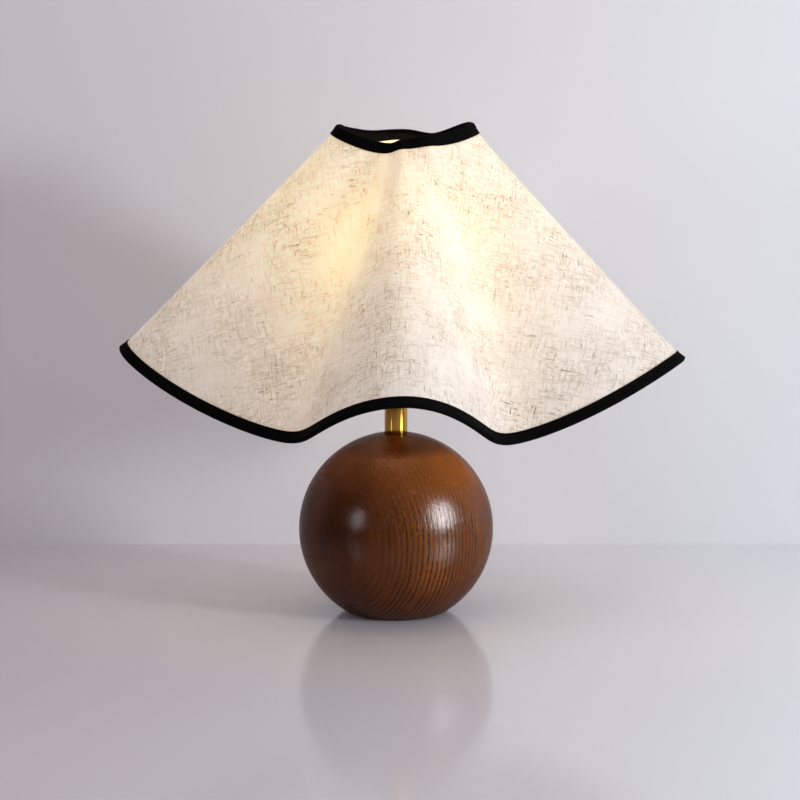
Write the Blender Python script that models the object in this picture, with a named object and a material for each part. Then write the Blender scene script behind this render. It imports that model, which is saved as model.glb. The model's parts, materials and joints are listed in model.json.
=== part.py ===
"""Table lamp: a turned wooden ball on a felt foot, a short brass stem, a switched lampholder with a bulb,
and a wavy cloth shade that hangs on a ring and four bowed arms. Metres, +Z up, front towards -Y.
The origin is the centre of the foot, on the surface that the lamp stands on.
"""
import math

import bmesh
import bpy
from mathutils import Vector

# Clearance between pieces that touch, and how far a cutter runs past what it cuts
GAP = 0.0003
OVERRUN = 0.002

# Wooden ball
BALL_RADIUS = 0.068
BALL_FLAT_RADIUS = 0.0343
BALL_EDGE = 0.0008
CAVITY_RADIUS = 0.017
CAVITY_DEPTH = 0.024
STEM_SEAT_DEPTH = 0.006

# Felt foot, standing a little proud of its recess in the ball
PAD_MARGIN = 0.0041
PAD_THICKNESS = 0.0018
PAD_PROUD = 0.0006

# Hollow threaded rod with its washer and nut in the ball's cavity
ROD_RADIUS = 0.005
ROD_WALL = 0.0015
ROD_TAIL = 0.004
WASHER_CLEARANCE = 0.0025
WASHER_THICKNESS = 0.002
NUT_WALL = 0.002
NUT_HEIGHT = 0.006

# Grommet where a cord would leave the ball, low at the back
CORD_HOLE_RADIUS = 0.0046
CORD_HOLE_HEIGHT = 0.0165
GROMMET_WALL = 0.0013
GROMMET_LIP_WIDTH = 0.002
GROMMET_LIP = 0.0011

# Brass stem with a plastic bush at each end
STEM_RADIUS = 0.008
STEM_WALL = 0.001
STEM_LENGTH = 0.0387
BUSH_LENGTH = 0.008
BUSH_FLANGE = 0.0015

# Lampholder cap, the brass cup that the rod screws into
HOLDER_STEP = 0.0005
HOLDER_WALL = 0.0012
CAP_HEIGHT = 0.028
COLLAR_RIM = 0.001
COLLAR_HEIGHT = 0.005
CAP_SHOULDER_HEIGHT = 0.006
GRUB_RADIUS = 0.0015
GRUB_LENGTH = 0.0035
GRUB_SOCKET_RADIUS = 0.0008
GRUB_SOCKET_DEPTH = 0.0015

# Lampholder skirt: lower wall, shoulder that carries the shade, threaded neck
SKIRT_LOWER_HEIGHT = 0.0065
SHOULDER_WIDTH = 0.004
SHOULDER_THICKNESS = 0.002
NECK_CLEARANCE = 0.0013
MOUTH_LEDGE = 0.001

# Insulating insert and the screw shell in it
INSERT_FLOOR = 0.0044
INSERT_DEPTH = 0.0255
INSERT_WALL = 0.0034
INSERT_CLEARANCE = 0.0004
SHELL_CLEARANCE = 0.0004
SHELL_WALL = 0.0007
SHELL_DROP = 0.001

# Switch in the cap: body, threaded bushing, spindle and knob
SWITCH_HEIGHT = 0.0095
SWITCH_BOSS_RADIUS = 0.0075
SPINDLE_RADIUS = 0.0020
SPINDLE_GRIP = 0.007
BUSHING_WALL = 0.0014
BUSHING_FLANGE_WIDTH = 0.0016
BUSHING_FLANGE = 0.002
BUSHING_NOSE = 0.0012
KNOB_RADIUS = 0.0055
KNOB_LENGTH = 0.012
KNOB_FLUTES = 12
KNOB_FLUTE_SHARE = 0.07
KNOB_EDGE = 0.0008

# Terminal screws on the switch body
TERMINAL_HEAD_RADIUS = 0.0022
TERMINAL_HEAD = 0.0013
TERMINAL_SHANK_RADIUS = 0.0014
TERMINAL_SHANK = 0.005
TERMINAL_CLEARANCE = 0.0012
TERMINAL_TILTS = {"live": math.pi / 2, "neutral": -math.pi / 2}

# Spring leaf under the bulb, and its rivet
LEAF_THICKNESS = 0.0005
LEAF_WIDTH = 0.005
LEAF_REACH = 0.011
LEAF_FOOT = 0.0055
LEAF_RISE = 0.0013
LEAF_TIP = 0.003
RIVET_RADIUS = 0.0010
RIVET_HEAD_RADIUS = 0.0018
RIVET_HEAD = 0.0008

# Bulb: 60 mm globe on a 26 mm screw cap
BULB_GLOBE_RADIUS = 0.030
BULB_HEIGHT = 0.106
BULB_SPLIT_DROP = 0.014
BULB_CAP_RADIUS = 0.0131
BULB_CAP_WALL = 0.0007
BULB_CAP_BOTTOM = 0.0056
BULB_CAP_TOP = 0.0255
BULB_CAP_LIP = 0.0015
BULB_CONTACT_RADIUS = 0.0046
BULB_CONTACT_THICKNESS = 0.001
BULB_CAP_TAPER = 0.0019
BULB_PLUG_DEPTH = 0.010
BULB_WALL = 0.0015
BULB_BOARD_THICKNESS = 0.0016
BULB_BOARD_DROP = 0.0012

# Ring nut that clamps the shade's fitter ring on the shoulder
RING_NUT_WIDTH = 0.0045
RING_NUT_HEIGHT = 0.008
RING_NUT_LIP = 0.002
RING_NUT_RIDGES = 24
RING_NUT_RIDGE_SHARE = 0.02
RING_CLEARANCE = 0.0005

# Shade frame: fitter ring, bowed arms, wire rings
FITTER_WIDTH = 0.005
FITTER_THICKNESS = 0.002
ARM_RADIUS = 0.0015
ARM_FOOT_REACH = 0.030
ARM_HEAD_REACH = 0.048
ARM_HEAD_DEPTH = 0.005
ARM_AZIMUTHS = {"front": 30.0, "rear": 150.0, "left": 270.0}
WIRE_RADIUS = 0.0012

# Shade cloth and the tape folded over its rims
CLOTH_THICKNESS = 0.001
TAPE_WIDTH = 0.0079
TOP_TAPE_WIDTH = 0.0084
TAPE_THICKNESS = 0.0006
TAPE_SHOULDER_SHARE = 0.5

# The cloth follows a cone whose half angle swings out at four folds and in between them. Each rim is a set of
# stations, (azimuth, half angle) in degrees, azimuth from the front towards the right, out and in by turns.
SHADE_APEX_RISE = 0.1967
SHADE_APEX_RIGHT = 0.0058
SHADE_TOP_SLANT = 0.0709
SHADE_SLANT = 0.2887
BOTTOM_STATIONS = (
    (0, 39.8), (35, 25.6), (75, 42.7), (128, 25.6), (180, 39.8), (226, 25.6), (270, 43.1), (320, 25.8)
)
TOP_STATIONS = (
    (0, 28.4), (27, 34.2), (107, 40.6), (148, 27.8), (183, 30.9), (208, 30.7), (272, 38.4), (341, 23.0)
)

# Facets: around the shade, around turned pieces, along curves
SHADE_STEPS = 72
CLOTH_ROWS = 3
BALL_STEPS = 44
ROUND_STEPS = 28
SMALL_STEPS = 16
TINY_STEPS = 12
HEXAGON_STEPS = 24
WIRE_SIDES = 6
ARM_STEPS = 14
BALL_ARC_STEPS = 15
GLOBE_ARC_STEPS = 8
BEND_STEPS = 4
BULB_BODY_STEPS = 5
SMOOTH_ANGLE = math.radians(32)

# Radii in the ball and stem, each from what it fits in or round
PAD_RADIUS = BALL_FLAT_RADIUS - PAD_MARGIN
WASHER_RADIUS = CAVITY_RADIUS - WASHER_CLEARANCE
ROD_BORE_RADIUS = ROD_RADIUS - ROD_WALL
NUT_FLAT_RADIUS = ROD_RADIUS + NUT_WALL
GROMMET_BORE_RADIUS = CORD_HOLE_RADIUS - GAP - GROMMET_WALL
GROMMET_LIP_RADIUS = CORD_HOLE_RADIUS + GROMMET_LIP_WIDTH
COLLAR_RADIUS = STEM_RADIUS + COLLAR_RIM

# Radii in the lampholder, each from the one inside it, out from the bulb's screw cap
BULB_INSULATOR_TOP_RADIUS = BULB_CAP_RADIUS - BULB_CAP_TAPER
SHELL_RADIUS = BULB_CAP_RADIUS + SHELL_CLEARANCE + SHELL_WALL
MOUTH_RADIUS = SHELL_RADIUS + MOUTH_LEDGE
INSERT_RADIUS = SHELL_RADIUS + GAP + INSERT_WALL
NECK_RADIUS = INSERT_RADIUS + INSERT_CLEARANCE + HOLDER_WALL
HOLDER_RADIUS = NECK_RADIUS + HOLDER_STEP
SHOULDER_RADIUS = NECK_RADIUS + SHOULDER_WIDTH
FITTER_HOLE_RADIUS = NECK_RADIUS + RING_CLEARANCE
FITTER_RADIUS = FITTER_HOLE_RADIUS + FITTER_WIDTH
RING_NUT_RADIUS = FITTER_HOLE_RADIUS + RING_NUT_WIDTH
CAP_INNER_RADIUS = HOLDER_RADIUS - HOLDER_WALL
SWITCH_RADIUS = CAP_INNER_RADIUS - TERMINAL_CLEARANCE - TERMINAL_HEAD - GAP
BUSHING_RADIUS = SPINDLE_RADIUS + BUSHING_WALL
BUSHING_FLANGE_FLAT_RADIUS = BUSHING_RADIUS + BUSHING_FLANGE_WIDTH

# Heights of the stack, each piece seated on the one below
WOOD_BOTTOM = PAD_PROUD
BALL_CENTRE = WOOD_BOTTOM + math.sqrt(BALL_RADIUS**2 - BALL_FLAT_RADIUS**2)
PAD_RECESS = WOOD_BOTTOM + PAD_THICKNESS - PAD_PROUD + GAP
CAVITY_TOP = WOOD_BOTTOM + CAVITY_DEPTH
WASHER_BOTTOM = CAVITY_TOP - GAP - WASHER_THICKNESS
NUT_BOTTOM = WASHER_BOTTOM - GAP - NUT_HEIGHT
STEM_SEAT = BALL_CENTRE + BALL_RADIUS - STEM_SEAT_DEPTH
STEM_BOTTOM = STEM_SEAT + GAP
STEM_TOP = STEM_BOTTOM + STEM_LENGTH
CAP_BOTTOM = STEM_TOP + GAP + BUSH_FLANGE + GAP
CAP_FLOOR = CAP_BOTTOM + COLLAR_HEIGHT + HOLDER_WALL
CAP_SHOULDER = CAP_BOTTOM + COLLAR_HEIGHT + CAP_SHOULDER_HEIGHT
CAP_TOP = CAP_BOTTOM + CAP_HEIGHT
ROD_BOTTOM = NUT_BOTTOM - ROD_TAIL
ROD_TOP = CAP_FLOOR - GAP
SWITCH_BOTTOM = CAP_FLOOR + GAP
SWITCH_BODY_BOTTOM = CAP_SHOULDER + GAP
SWITCH_TOP = SWITCH_BODY_BOTTOM + SWITCH_HEIGHT
SWITCH_AXIS = (SWITCH_BODY_BOTTOM + SWITCH_TOP) / 2
INSERT_BOTTOM = SWITCH_TOP + GAP
INSERT_FLOOR_TOP = INSERT_BOTTOM + INSERT_FLOOR
INSERT_TOP = INSERT_FLOOR_TOP + INSERT_DEPTH
SKIRT_BOTTOM = CAP_TOP + GAP
SHOULDER_BOTTOM = SKIRT_BOTTOM + SKIRT_LOWER_HEIGHT
SHOULDER_TOP = SHOULDER_BOTTOM + SHOULDER_THICKNESS
NECK_TOP = INSERT_TOP + NECK_CLEARANCE + HOLDER_WALL
FITTER_BOTTOM = SHOULDER_TOP + GAP
RING_NUT_BOTTOM = FITTER_BOTTOM + FITTER_THICKNESS + GAP
BULB_SEAT = INSERT_FLOOR_TOP + GAP + LEAF_RISE + LEAF_THICKNESS + GAP
SHADE_APEX = Vector((SHADE_APEX_RIGHT, 0, FITTER_BOTTOM + SHADE_APEX_RISE))

# Heights on the bulb, over its contact
BULB_GLOBE_CENTRE = BULB_HEIGHT - BULB_GLOBE_RADIUS
BULB_SPLIT_HEIGHT = BULB_GLOBE_CENTRE - BULB_SPLIT_DROP


def clear_scene():
    for existing in list(bpy.data.objects):
        bpy.data.objects.remove(existing, do_unlink=True)


def material(name, colour, roughness, metallic=0.0):
    """One plain Principled material for a piece."""
    made = bpy.data.materials.new(name)
    made.use_nodes = True
    shader = made.node_tree.nodes["Principled BSDF"]
    shader.inputs["Base Color"].default_value = (*colour, 1.0)
    shader.inputs["Roughness"].default_value = roughness
    shader.inputs["Metallic"].default_value = metallic
    made.diffuse_color = (*colour, 1.0)
    return made


def place(name, bm, finish, parent=None, location=(0, 0, 0), rotation=(0, 0, 0)):
    """Turns a finished bmesh into a named object with outward faces and smooth round sides."""
    bmesh.ops.recalc_face_normals(bm, faces=bm.faces)
    mesh = bpy.data.meshes.new(name)
    bm.to_mesh(mesh)
    bm.free()
    mesh.shade_smooth()
    mesh.set_sharp_from_angle(angle=SMOOTH_ANGLE)
    if finish:
        mesh.materials.append(finish)
    made = bpy.data.objects.new(name, mesh)
    bpy.context.scene.collection.objects.link(made)
    made.parent = parent
    made.location = location
    made.rotation_euler = rotation
    return made


def axis_empty(name, location, rotation=(0, 0, 0)):
    """An empty on a joint's axis, which carries the pieces that move about it."""
    made = bpy.data.objects.new(name, None)
    made.location = location
    made.rotation_euler = rotation
    made.empty_display_size = BALL_RADIUS
    bpy.context.scene.collection.objects.link(made)
    return made


def turned_mesh(outline, steps):
    """Spins (radius, height) points about Z. An outline off the axis is closed into a ring."""
    bm = bmesh.new()
    points = [bm.verts.new((radius, 0, height)) for radius, height in outline]
    pairs = list(zip(points, points[1:]))
    if outline[0][0] > 0:
        pairs.append((points[-1], points[0]))
    edges = [bm.edges.new(pair) for pair in pairs]
    bmesh.ops.spin(
        bm, geom=points + edges, axis=(0, 0, 1), cent=(0, 0, 0), angle=math.tau, steps=steps, use_merge=True
    )
    bmesh.ops.remove_doubles(bm, verts=bm.verts, dist=GAP / 100)
    bmesh.ops.dissolve_degenerate(bm, edges=bm.edges, dist=GAP / 100)
    return bm


def turned(name, outline, finish, steps=ROUND_STEPS, shape=None, **where):
    """A turned solid. shape(radius, angle) may change the radius, for a hexagon or for flutes."""
    bm = turned_mesh(outline, steps)
    if shape:
        for vert in bm.verts:
            radius = math.hypot(vert.co.x, vert.co.y)
            angle = math.atan2(vert.co.y, vert.co.x)
            if radius > 0:
                vert.co.xy *= shape(radius, angle) / radius
    return place(name, bm, finish, **where)


def hexagon(flat_radius, from_radius):
    """Shape for turned(): radii from from_radius out lie on a hexagon with this distance to its flats."""
    sixth = math.tau / 6

    def shape(radius, angle):
        if radius < from_radius:
            return radius
        offset = angle % sixth - sixth / 2
        return radius * flat_radius / (from_radius * math.cos(offset))

    return shape


def fluted(count, share, from_radius):
    """Shape for turned(): radii from from_radius out rise and fall count times round."""

    def shape(radius, angle):
        if radius < from_radius:
            return radius
        return radius * (1 - share * (0.5 - 0.5 * math.cos(count * angle)))

    return shape


def arc(centre, radius, start, end, steps):
    """Points (radius, height) on a circle in the turning plane, angles up from the horizontal in radians."""
    turns = [start + (end - start) * step / steps for step in range(steps + 1)]
    return [(centre[0] + radius * math.cos(turn), centre[1] + radius * math.sin(turn)) for turn in turns]


def ring_outline(inner, outer, bottom, top):
    return [(inner, bottom), (outer, bottom), (outer, top), (inner, top)]


def disc_outline(radius, bottom, top):
    return [(0, bottom), (radius, bottom), (radius, top), (0, top)]


def cutter(name, outline, steps=ROUND_STEPS, **where):
    made = turned(name, outline, None, steps, **where)
    made.hide_render = True
    made.display_type = "WIRE"
    return made


def cut(target, tool, operation="DIFFERENCE"):
    change = target.modifiers.new(tool.name, "BOOLEAN")
    change.operation = operation
    change.object = tool
    change.solver = "EXACT"


def swept(name, loops, finish, **where):
    """A closed solid through a closed chain of equal loops of points."""
    bm = bmesh.new()
    rings = [[bm.verts.new(point) for point in loop] for loop in loops]
    for ring, following in zip(rings, rings[1:] + rings[:1]):
        for index in range(len(ring)):
            after = (index + 1) % len(ring)
            bm.faces.new((ring[index], ring[after], following[after], following[index]))
    return place(name, bm, finish, **where)


def tube_along(name, path, radius, finish, **where):
    """A round bar along a list of points in one vertical plane, with flat ends."""
    bm = bmesh.new()
    side = (path[-1] - path[0]).cross(path[len(path) // 2] - path[0]).normalized()
    rings = []
    for index, point in enumerate(path):
        before = path[max(index - 1, 0)]
        beyond = path[min(index + 1, len(path) - 1)]
        across = (beyond - before).normalized().cross(side)
        turns = [math.tau * (step + 0.5) / WIRE_SIDES for step in range(WIRE_SIDES)]
        ring = [point + radius * (math.cos(turn) * side + math.sin(turn) * across) for turn in turns]
        rings.append([bm.verts.new(place_on) for place_on in ring])
    for ring, following in zip(rings, rings[1:]):
        for index in range(WIRE_SIDES):
            after = (index + 1) % WIRE_SIDES
            bm.faces.new((ring[index], ring[after], following[after], following[index]))
    bm.faces.new(rings[0])
    bm.faces.new(rings[-1])
    return place(name, bm, finish, **where)


# Base: ball, felt foot, rod and its fastenings


def make_ball(finish):
    lowest = -math.asin((BALL_CENTRE - WOOD_BOTTOM - BALL_EDGE) / BALL_RADIUS)
    stem_hole = STEM_RADIUS + GAP
    highest = math.acos(stem_hole / BALL_RADIUS)
    outline = [(ROD_RADIUS + GAP, STEM_SEAT), (stem_hole, STEM_SEAT)]
    outline += arc((0, BALL_CENTRE), BALL_RADIUS, highest, lowest, BALL_ARC_STEPS)
    outline += [(BALL_FLAT_RADIUS - BALL_EDGE, WOOD_BOTTOM), (PAD_RADIUS + GAP, WOOD_BOTTOM)]
    outline += [(PAD_RADIUS + GAP, PAD_RECESS), (CAVITY_RADIUS, PAD_RECESS)]
    outline += [(CAVITY_RADIUS, CAVITY_TOP), (ROD_RADIUS + GAP, CAVITY_TOP)]
    ball = turned("ball_base", outline, finish, BALL_STEPS)
    reach = BALL_RADIUS + OVERRUN
    along_back = (-math.pi / 2, 0, 0)
    hole = disc_outline(CORD_HOLE_RADIUS, CAVITY_RADIUS / 2, reach)
    cord_hole = cutter("cord_hole", hole, SMALL_STEPS, location=(0, 0, CORD_HOLE_HEIGHT), rotation=along_back)
    cut(ball, cord_hole)


def make_grommet(finish):
    """A grommet whose lip follows the ball: a stepped bush trimmed by two spheres about the ball's centre."""
    along_back = {"location": (0, 0, CORD_HOLE_HEIGHT), "rotation": (-math.pi / 2, 0, 0)}
    inner_end = CAVITY_RADIUS + GAP
    outer_end = BALL_RADIUS + OVERRUN
    sleeve = CORD_HOLE_RADIUS - GAP
    lip_inner = BALL_RADIUS + GAP
    lip_outer = lip_inner + GROMMET_LIP
    bush = ring_outline(GROMMET_BORE_RADIUS, sleeve, inner_end, outer_end)
    grommet = turned("cord_grommet", bush, finish, SMALL_STEPS, **along_back)
    start = inner_end + GROMMET_LIP_RADIUS
    lip_ring = ring_outline(sleeve - GAP, GROMMET_LIP_RADIUS, start, outer_end)
    lip = cutter("grommet_lip", lip_ring, SMALL_STEPS, **along_back)
    seat = cutter("grommet_seat", ball_outline(lip_inner), BALL_STEPS, location=(0, 0, BALL_CENTRE))
    cut(lip, seat)
    cut(grommet, lip, "UNION")
    dome = cutter("grommet_dome", ball_outline(lip_outer), BALL_STEPS, location=(0, 0, BALL_CENTRE))
    cut(grommet, dome, "INTERSECT")


def ball_outline(radius):
    points = arc((0, 0), radius, -math.pi / 2, math.pi / 2, BALL_ARC_STEPS)
    return [(0, -radius)] + points[1:-1] + [(0, radius)]


def make_base_fastenings(steel, felt):
    turned("felt_foot", disc_outline(PAD_RADIUS, 0, PAD_THICKNESS), felt, BALL_STEPS)
    rod = ring_outline(ROD_BORE_RADIUS, ROD_RADIUS, ROD_BOTTOM, ROD_TOP)
    turned("threaded_rod", rod, steel, SMALL_STEPS)
    hole = ROD_RADIUS + GAP
    washer = ring_outline(hole, WASHER_RADIUS, 0, WASHER_THICKNESS)
    turned("rod_washer", washer, steel, location=(0, 0, WASHER_BOTTOM))
    nut = ring_outline(hole, NUT_FLAT_RADIUS, 0, NUT_HEIGHT)
    flats = hexagon(NUT_FLAT_RADIUS, NUT_FLAT_RADIUS)
    turned("rod_nut", nut, steel, HEXAGON_STEPS, flats, location=(0, 0, NUT_BOTTOM))


def make_stem(brass, plastic):
    tube = ring_outline(STEM_RADIUS - STEM_WALL, STEM_RADIUS, 0, STEM_LENGTH)
    turned("stem_tube", tube, brass, location=(0, 0, STEM_BOTTOM))
    hole = ROD_RADIUS + GAP
    outer = STEM_RADIUS - STEM_WALL - GAP
    lower = ring_outline(hole, outer, 0, BUSH_LENGTH)
    turned("stem_lower_bush", lower, plastic, SMALL_STEPS, location=(0, 0, STEM_BOTTOM))
    flange_bottom = BUSH_LENGTH + GAP
    upper = [(hole, 0), (outer, 0), (outer, flange_bottom), (STEM_RADIUS, flange_bottom)]
    upper += [(STEM_RADIUS, flange_bottom + BUSH_FLANGE), (hole, flange_bottom + BUSH_FLANGE)]
    turned("stem_upper_bush", upper, plastic, SMALL_STEPS, location=(0, 0, STEM_TOP - BUSH_LENGTH))


# Lampholder


def make_holder_cap(finish):
    rise = CAP_SHOULDER_HEIGHT
    outer_bend = [
        (COLLAR_RADIUS + (HOLDER_RADIUS - COLLAR_RADIUS) * across, COLLAR_HEIGHT + rise * up)
        for across, up in quarter_shares()
    ]
    inner_edge = CAP_INNER_RADIUS
    inner_bend = [
        (COLLAR_RADIUS + (inner_edge - COLLAR_RADIUS) * across, COLLAR_HEIGHT + HOLDER_WALL + rise * up)
        for across, up in quarter_shares()
    ]
    outline = [(ROD_RADIUS + GAP, 0), (COLLAR_RADIUS, 0)] + outer_bend
    outline += [(HOLDER_RADIUS, CAP_HEIGHT), (inner_edge, CAP_HEIGHT)] + inner_bend[::-1]
    outline += [(ROD_RADIUS + GAP, COLLAR_HEIGHT + HOLDER_WALL)]
    cap = turned("holder_cap", outline, finish, location=(0, 0, CAP_BOTTOM))
    grub_hole = cutter(
        "grub_hole",
        disc_outline(GRUB_RADIUS + GAP, ROD_RADIUS / 2, COLLAR_RADIUS + OVERRUN),
        TINY_STEPS,
        location=(0, 0, CAP_BOTTOM + COLLAR_HEIGHT / 2),
        rotation=(-math.pi / 2, 0, 0),
    )
    cut(cap, grub_hole)
    bushing_hole = cutter(
        "bushing_hole",
        disc_outline(BUSHING_RADIUS + GAP, SWITCH_RADIUS, HOLDER_RADIUS + OVERRUN),
        SMALL_STEPS,
        location=(0, 0, SWITCH_AXIS),
        rotation=(0, math.pi / 2, 0),
    )
    cut(cap, bushing_hole)


def quarter_shares():
    """Shares across and up along a quarter ellipse that leaves flat and ends upright."""
    turns = [math.pi / 2 * step / BEND_STEPS for step in range(BEND_STEPS + 1)]
    return [(math.sin(turn), 1 - math.cos(turn)) for turn in turns]


def make_grub_screw(finish):
    outline = [(0, 0), (GRUB_RADIUS, 0), (GRUB_RADIUS, GRUB_LENGTH), (GRUB_SOCKET_RADIUS, GRUB_LENGTH)]
    outline += [(GRUB_SOCKET_RADIUS, GRUB_LENGTH - GRUB_SOCKET_DEPTH), (0, GRUB_LENGTH - GRUB_SOCKET_DEPTH)]
    seat = (0, ROD_RADIUS + GAP, CAP_BOTTOM + COLLAR_HEIGHT / 2)
    turned("grub_screw", outline, finish, TINY_STEPS, location=seat, rotation=(-math.pi / 2, 0, 0))


def make_holder_skirt(finish):
    lower = SKIRT_LOWER_HEIGHT
    shoulder_top = lower + SHOULDER_THICKNESS
    top = NECK_TOP - SKIRT_BOTTOM
    inner_lower = CAP_INNER_RADIUS
    inner_neck = NECK_RADIUS - HOLDER_WALL
    outline = [(inner_lower, 0), (HOLDER_RADIUS, 0), (HOLDER_RADIUS, lower), (SHOULDER_RADIUS, lower)]
    outline += [(SHOULDER_RADIUS, shoulder_top), (NECK_RADIUS, shoulder_top), (NECK_RADIUS, top)]
    outline += [(MOUTH_RADIUS, top), (MOUTH_RADIUS, top - HOLDER_WALL), (inner_neck, top - HOLDER_WALL)]
    outline += [(inner_neck, shoulder_top), (inner_lower, lower)]
    turned("holder_skirt", outline, finish, location=(0, 0, SKIRT_BOTTOM))


def make_insert(finish):
    floor = INSERT_FLOOR
    top = floor + INSERT_DEPTH
    inner = SHELL_RADIUS + GAP
    outline = [(0, 0), (INSERT_RADIUS, 0), (INSERT_RADIUS, top), (inner, top), (inner, floor), (0, floor)]
    insert = turned("holder_insert", outline, finish, location=(0, 0, INSERT_BOTTOM))
    hole = disc_outline(RIVET_RADIUS + GAP, -OVERRUN, floor + OVERRUN)
    cut(insert, cutter("rivet_hole", hole, TINY_STEPS, location=(leaf_foot_middle(), 0, INSERT_BOTTOM)))


def make_screw_shell(finish):
    outline = ring_outline(SHELL_RADIUS - SHELL_WALL, SHELL_RADIUS, 0, INSERT_DEPTH - SHELL_DROP)
    turned("screw_shell", outline, finish, location=(0, 0, INSERT_FLOOR_TOP + GAP))


def leaf_foot_middle():
    return LEAF_FOOT / 2 - LEAF_REACH


def make_contact_leaf(finish):
    """A bent strip: flat foot under the rivet, ramp, and a flat tip under the bulb's contact."""
    side = [(-LEAF_REACH, 0), (LEAF_FOOT - LEAF_REACH, 0), (-LEAF_TIP, LEAF_RISE), (LEAF_TIP, LEAF_RISE)]
    upper = [(x, z + LEAF_THICKNESS) for x, z in reversed(side)]
    bm = bmesh.new()
    face = bm.faces.new([bm.verts.new((x, -LEAF_WIDTH / 2, z)) for x, z in side + upper])
    extruded = bmesh.ops.extrude_face_region(bm, geom=[face])["geom"]
    moved = [item for item in extruded if isinstance(item, bmesh.types.BMVert)]
    bmesh.ops.translate(bm, verts=moved, vec=(0, LEAF_WIDTH, 0))
    leaf = place("contact_leaf", bm, finish, location=(0, 0, INSERT_FLOOR_TOP + GAP))
    hole = disc_outline(RIVET_RADIUS + GAP, -OVERRUN, OVERRUN)
    cut(leaf, cutter("leaf_hole", hole, TINY_STEPS, location=(leaf_foot_middle(), 0, INSERT_FLOOR_TOP)))


def make_rivet(finish):
    seat = INSERT_FLOOR + GAP + LEAF_THICKNESS + GAP
    outline = [(0, 0), (RIVET_RADIUS, 0), (RIVET_RADIUS, seat), (RIVET_HEAD_RADIUS, seat)]
    outline += [(RIVET_RADIUS, seat + RIVET_HEAD), (0, seat + RIVET_HEAD)]
    turned("contact_rivet", outline, finish, TINY_STEPS, location=(leaf_foot_middle(), 0, INSERT_BOTTOM))


def make_switch_body(finish):
    step = SWITCH_BODY_BOTTOM - SWITCH_BOTTOM
    top = SWITCH_TOP - SWITCH_BOTTOM
    outline = [(ROD_BORE_RADIUS, 0), (SWITCH_BOSS_RADIUS, 0), (SWITCH_BOSS_RADIUS, step)]
    outline += [(SWITCH_RADIUS, step), (SWITCH_RADIUS, top), (ROD_BORE_RADIUS, top)]
    body = turned("switch_body", outline, finish, location=(0, 0, SWITCH_BOTTOM))
    shaft = disc_outline(SPINDLE_RADIUS + GAP, ROD_BORE_RADIUS + SPINDLE_RADIUS, SWITCH_RADIUS + OVERRUN)
    axis = (0, 0, SWITCH_AXIS)
    cut(body, cutter("spindle_hole", shaft, TINY_STEPS, location=axis, rotation=(0, math.pi / 2, 0)))
    bore = disc_outline(TERMINAL_SHANK_RADIUS + GAP, SWITCH_RADIUS - TERMINAL_SHANK, SWITCH_RADIUS + OVERRUN)
    for name, tilt in TERMINAL_TILTS.items():
        hole = cutter(name + "_terminal_hole", bore, TINY_STEPS, location=axis, rotation=(tilt, 0, 0))
        cut(body, hole)


def make_terminal_screws(finish):
    shank_end = SWITCH_RADIUS + GAP - TERMINAL_SHANK + GAP
    seat = SWITCH_RADIUS + GAP
    outline = [(0, shank_end), (TERMINAL_SHANK_RADIUS, shank_end), (TERMINAL_SHANK_RADIUS, seat)]
    head_top = seat + TERMINAL_HEAD
    outline += [(TERMINAL_HEAD_RADIUS, seat), (TERMINAL_HEAD_RADIUS, head_top), (0, head_top)]
    axis = (0, 0, SWITCH_AXIS)
    for name, tilt in TERMINAL_TILTS.items():
        turned(name + "_terminal_screw", outline, finish, TINY_STEPS, location=axis, rotation=(tilt, 0, 0))


def make_switch_bushing(finish):
    """Threaded collar through the cap's wall, its hexagon seated on the outside."""
    hole = SPINDLE_RADIUS + GAP
    seat = HOLDER_RADIUS + GAP
    flange_top = seat + BUSHING_FLANGE
    nose = flange_top + BUSHING_NOSE
    hexagon_base = BUSHING_FLANGE_FLAT_RADIUS
    outline = [(hole, SWITCH_RADIUS + GAP), (BUSHING_RADIUS, SWITCH_RADIUS + GAP), (BUSHING_RADIUS, seat)]
    outline += [(hexagon_base, seat), (hexagon_base, flange_top), (BUSHING_RADIUS, flange_top)]
    outline += [(BUSHING_RADIUS, nose), (hole, nose)]
    across = {"location": (0, 0, SWITCH_AXIS), "rotation": (0, math.pi / 2, 0)}
    flats = hexagon(hexagon_base, hexagon_base)
    turned("switch_bushing", outline, finish, HEXAGON_STEPS, flats, **across)
    return nose


def make_switch_knob(bushing_nose, steel, finish):
    """Knob and spindle on the switch's own axis, which runs out to the right."""
    axis = axis_empty("switch_axis", (0, 0, SWITCH_AXIS), (0, math.pi / 2, 0))
    inner_end = ROD_BORE_RADIUS + SPINDLE_RADIUS + GAP
    knob_start = bushing_nose + GAP
    spindle_end = knob_start + SPINDLE_GRIP
    shaft = disc_outline(SPINDLE_RADIUS, inner_end, spindle_end)
    turned("switch_spindle", shaft, steel, TINY_STEPS, parent=axis)
    bore = SPINDLE_RADIUS + GAP
    tip = KNOB_LENGTH
    edge = KNOB_RADIUS - KNOB_EDGE
    outline = [(0, SPINDLE_GRIP + GAP), (bore, SPINDLE_GRIP + GAP), (bore, 0), (edge, 0)]
    outline += [(KNOB_RADIUS, KNOB_EDGE), (KNOB_RADIUS, tip - KNOB_EDGE), (edge, tip), (0, tip)]
    grip = fluted(KNOB_FLUTES, KNOB_FLUTE_SHARE, (bore + KNOB_RADIUS) / 2)
    turned("switch_knob", outline, finish, 4 * KNOB_FLUTES, grip, parent=axis, location=(0, 0, knob_start))


# Bulb


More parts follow.
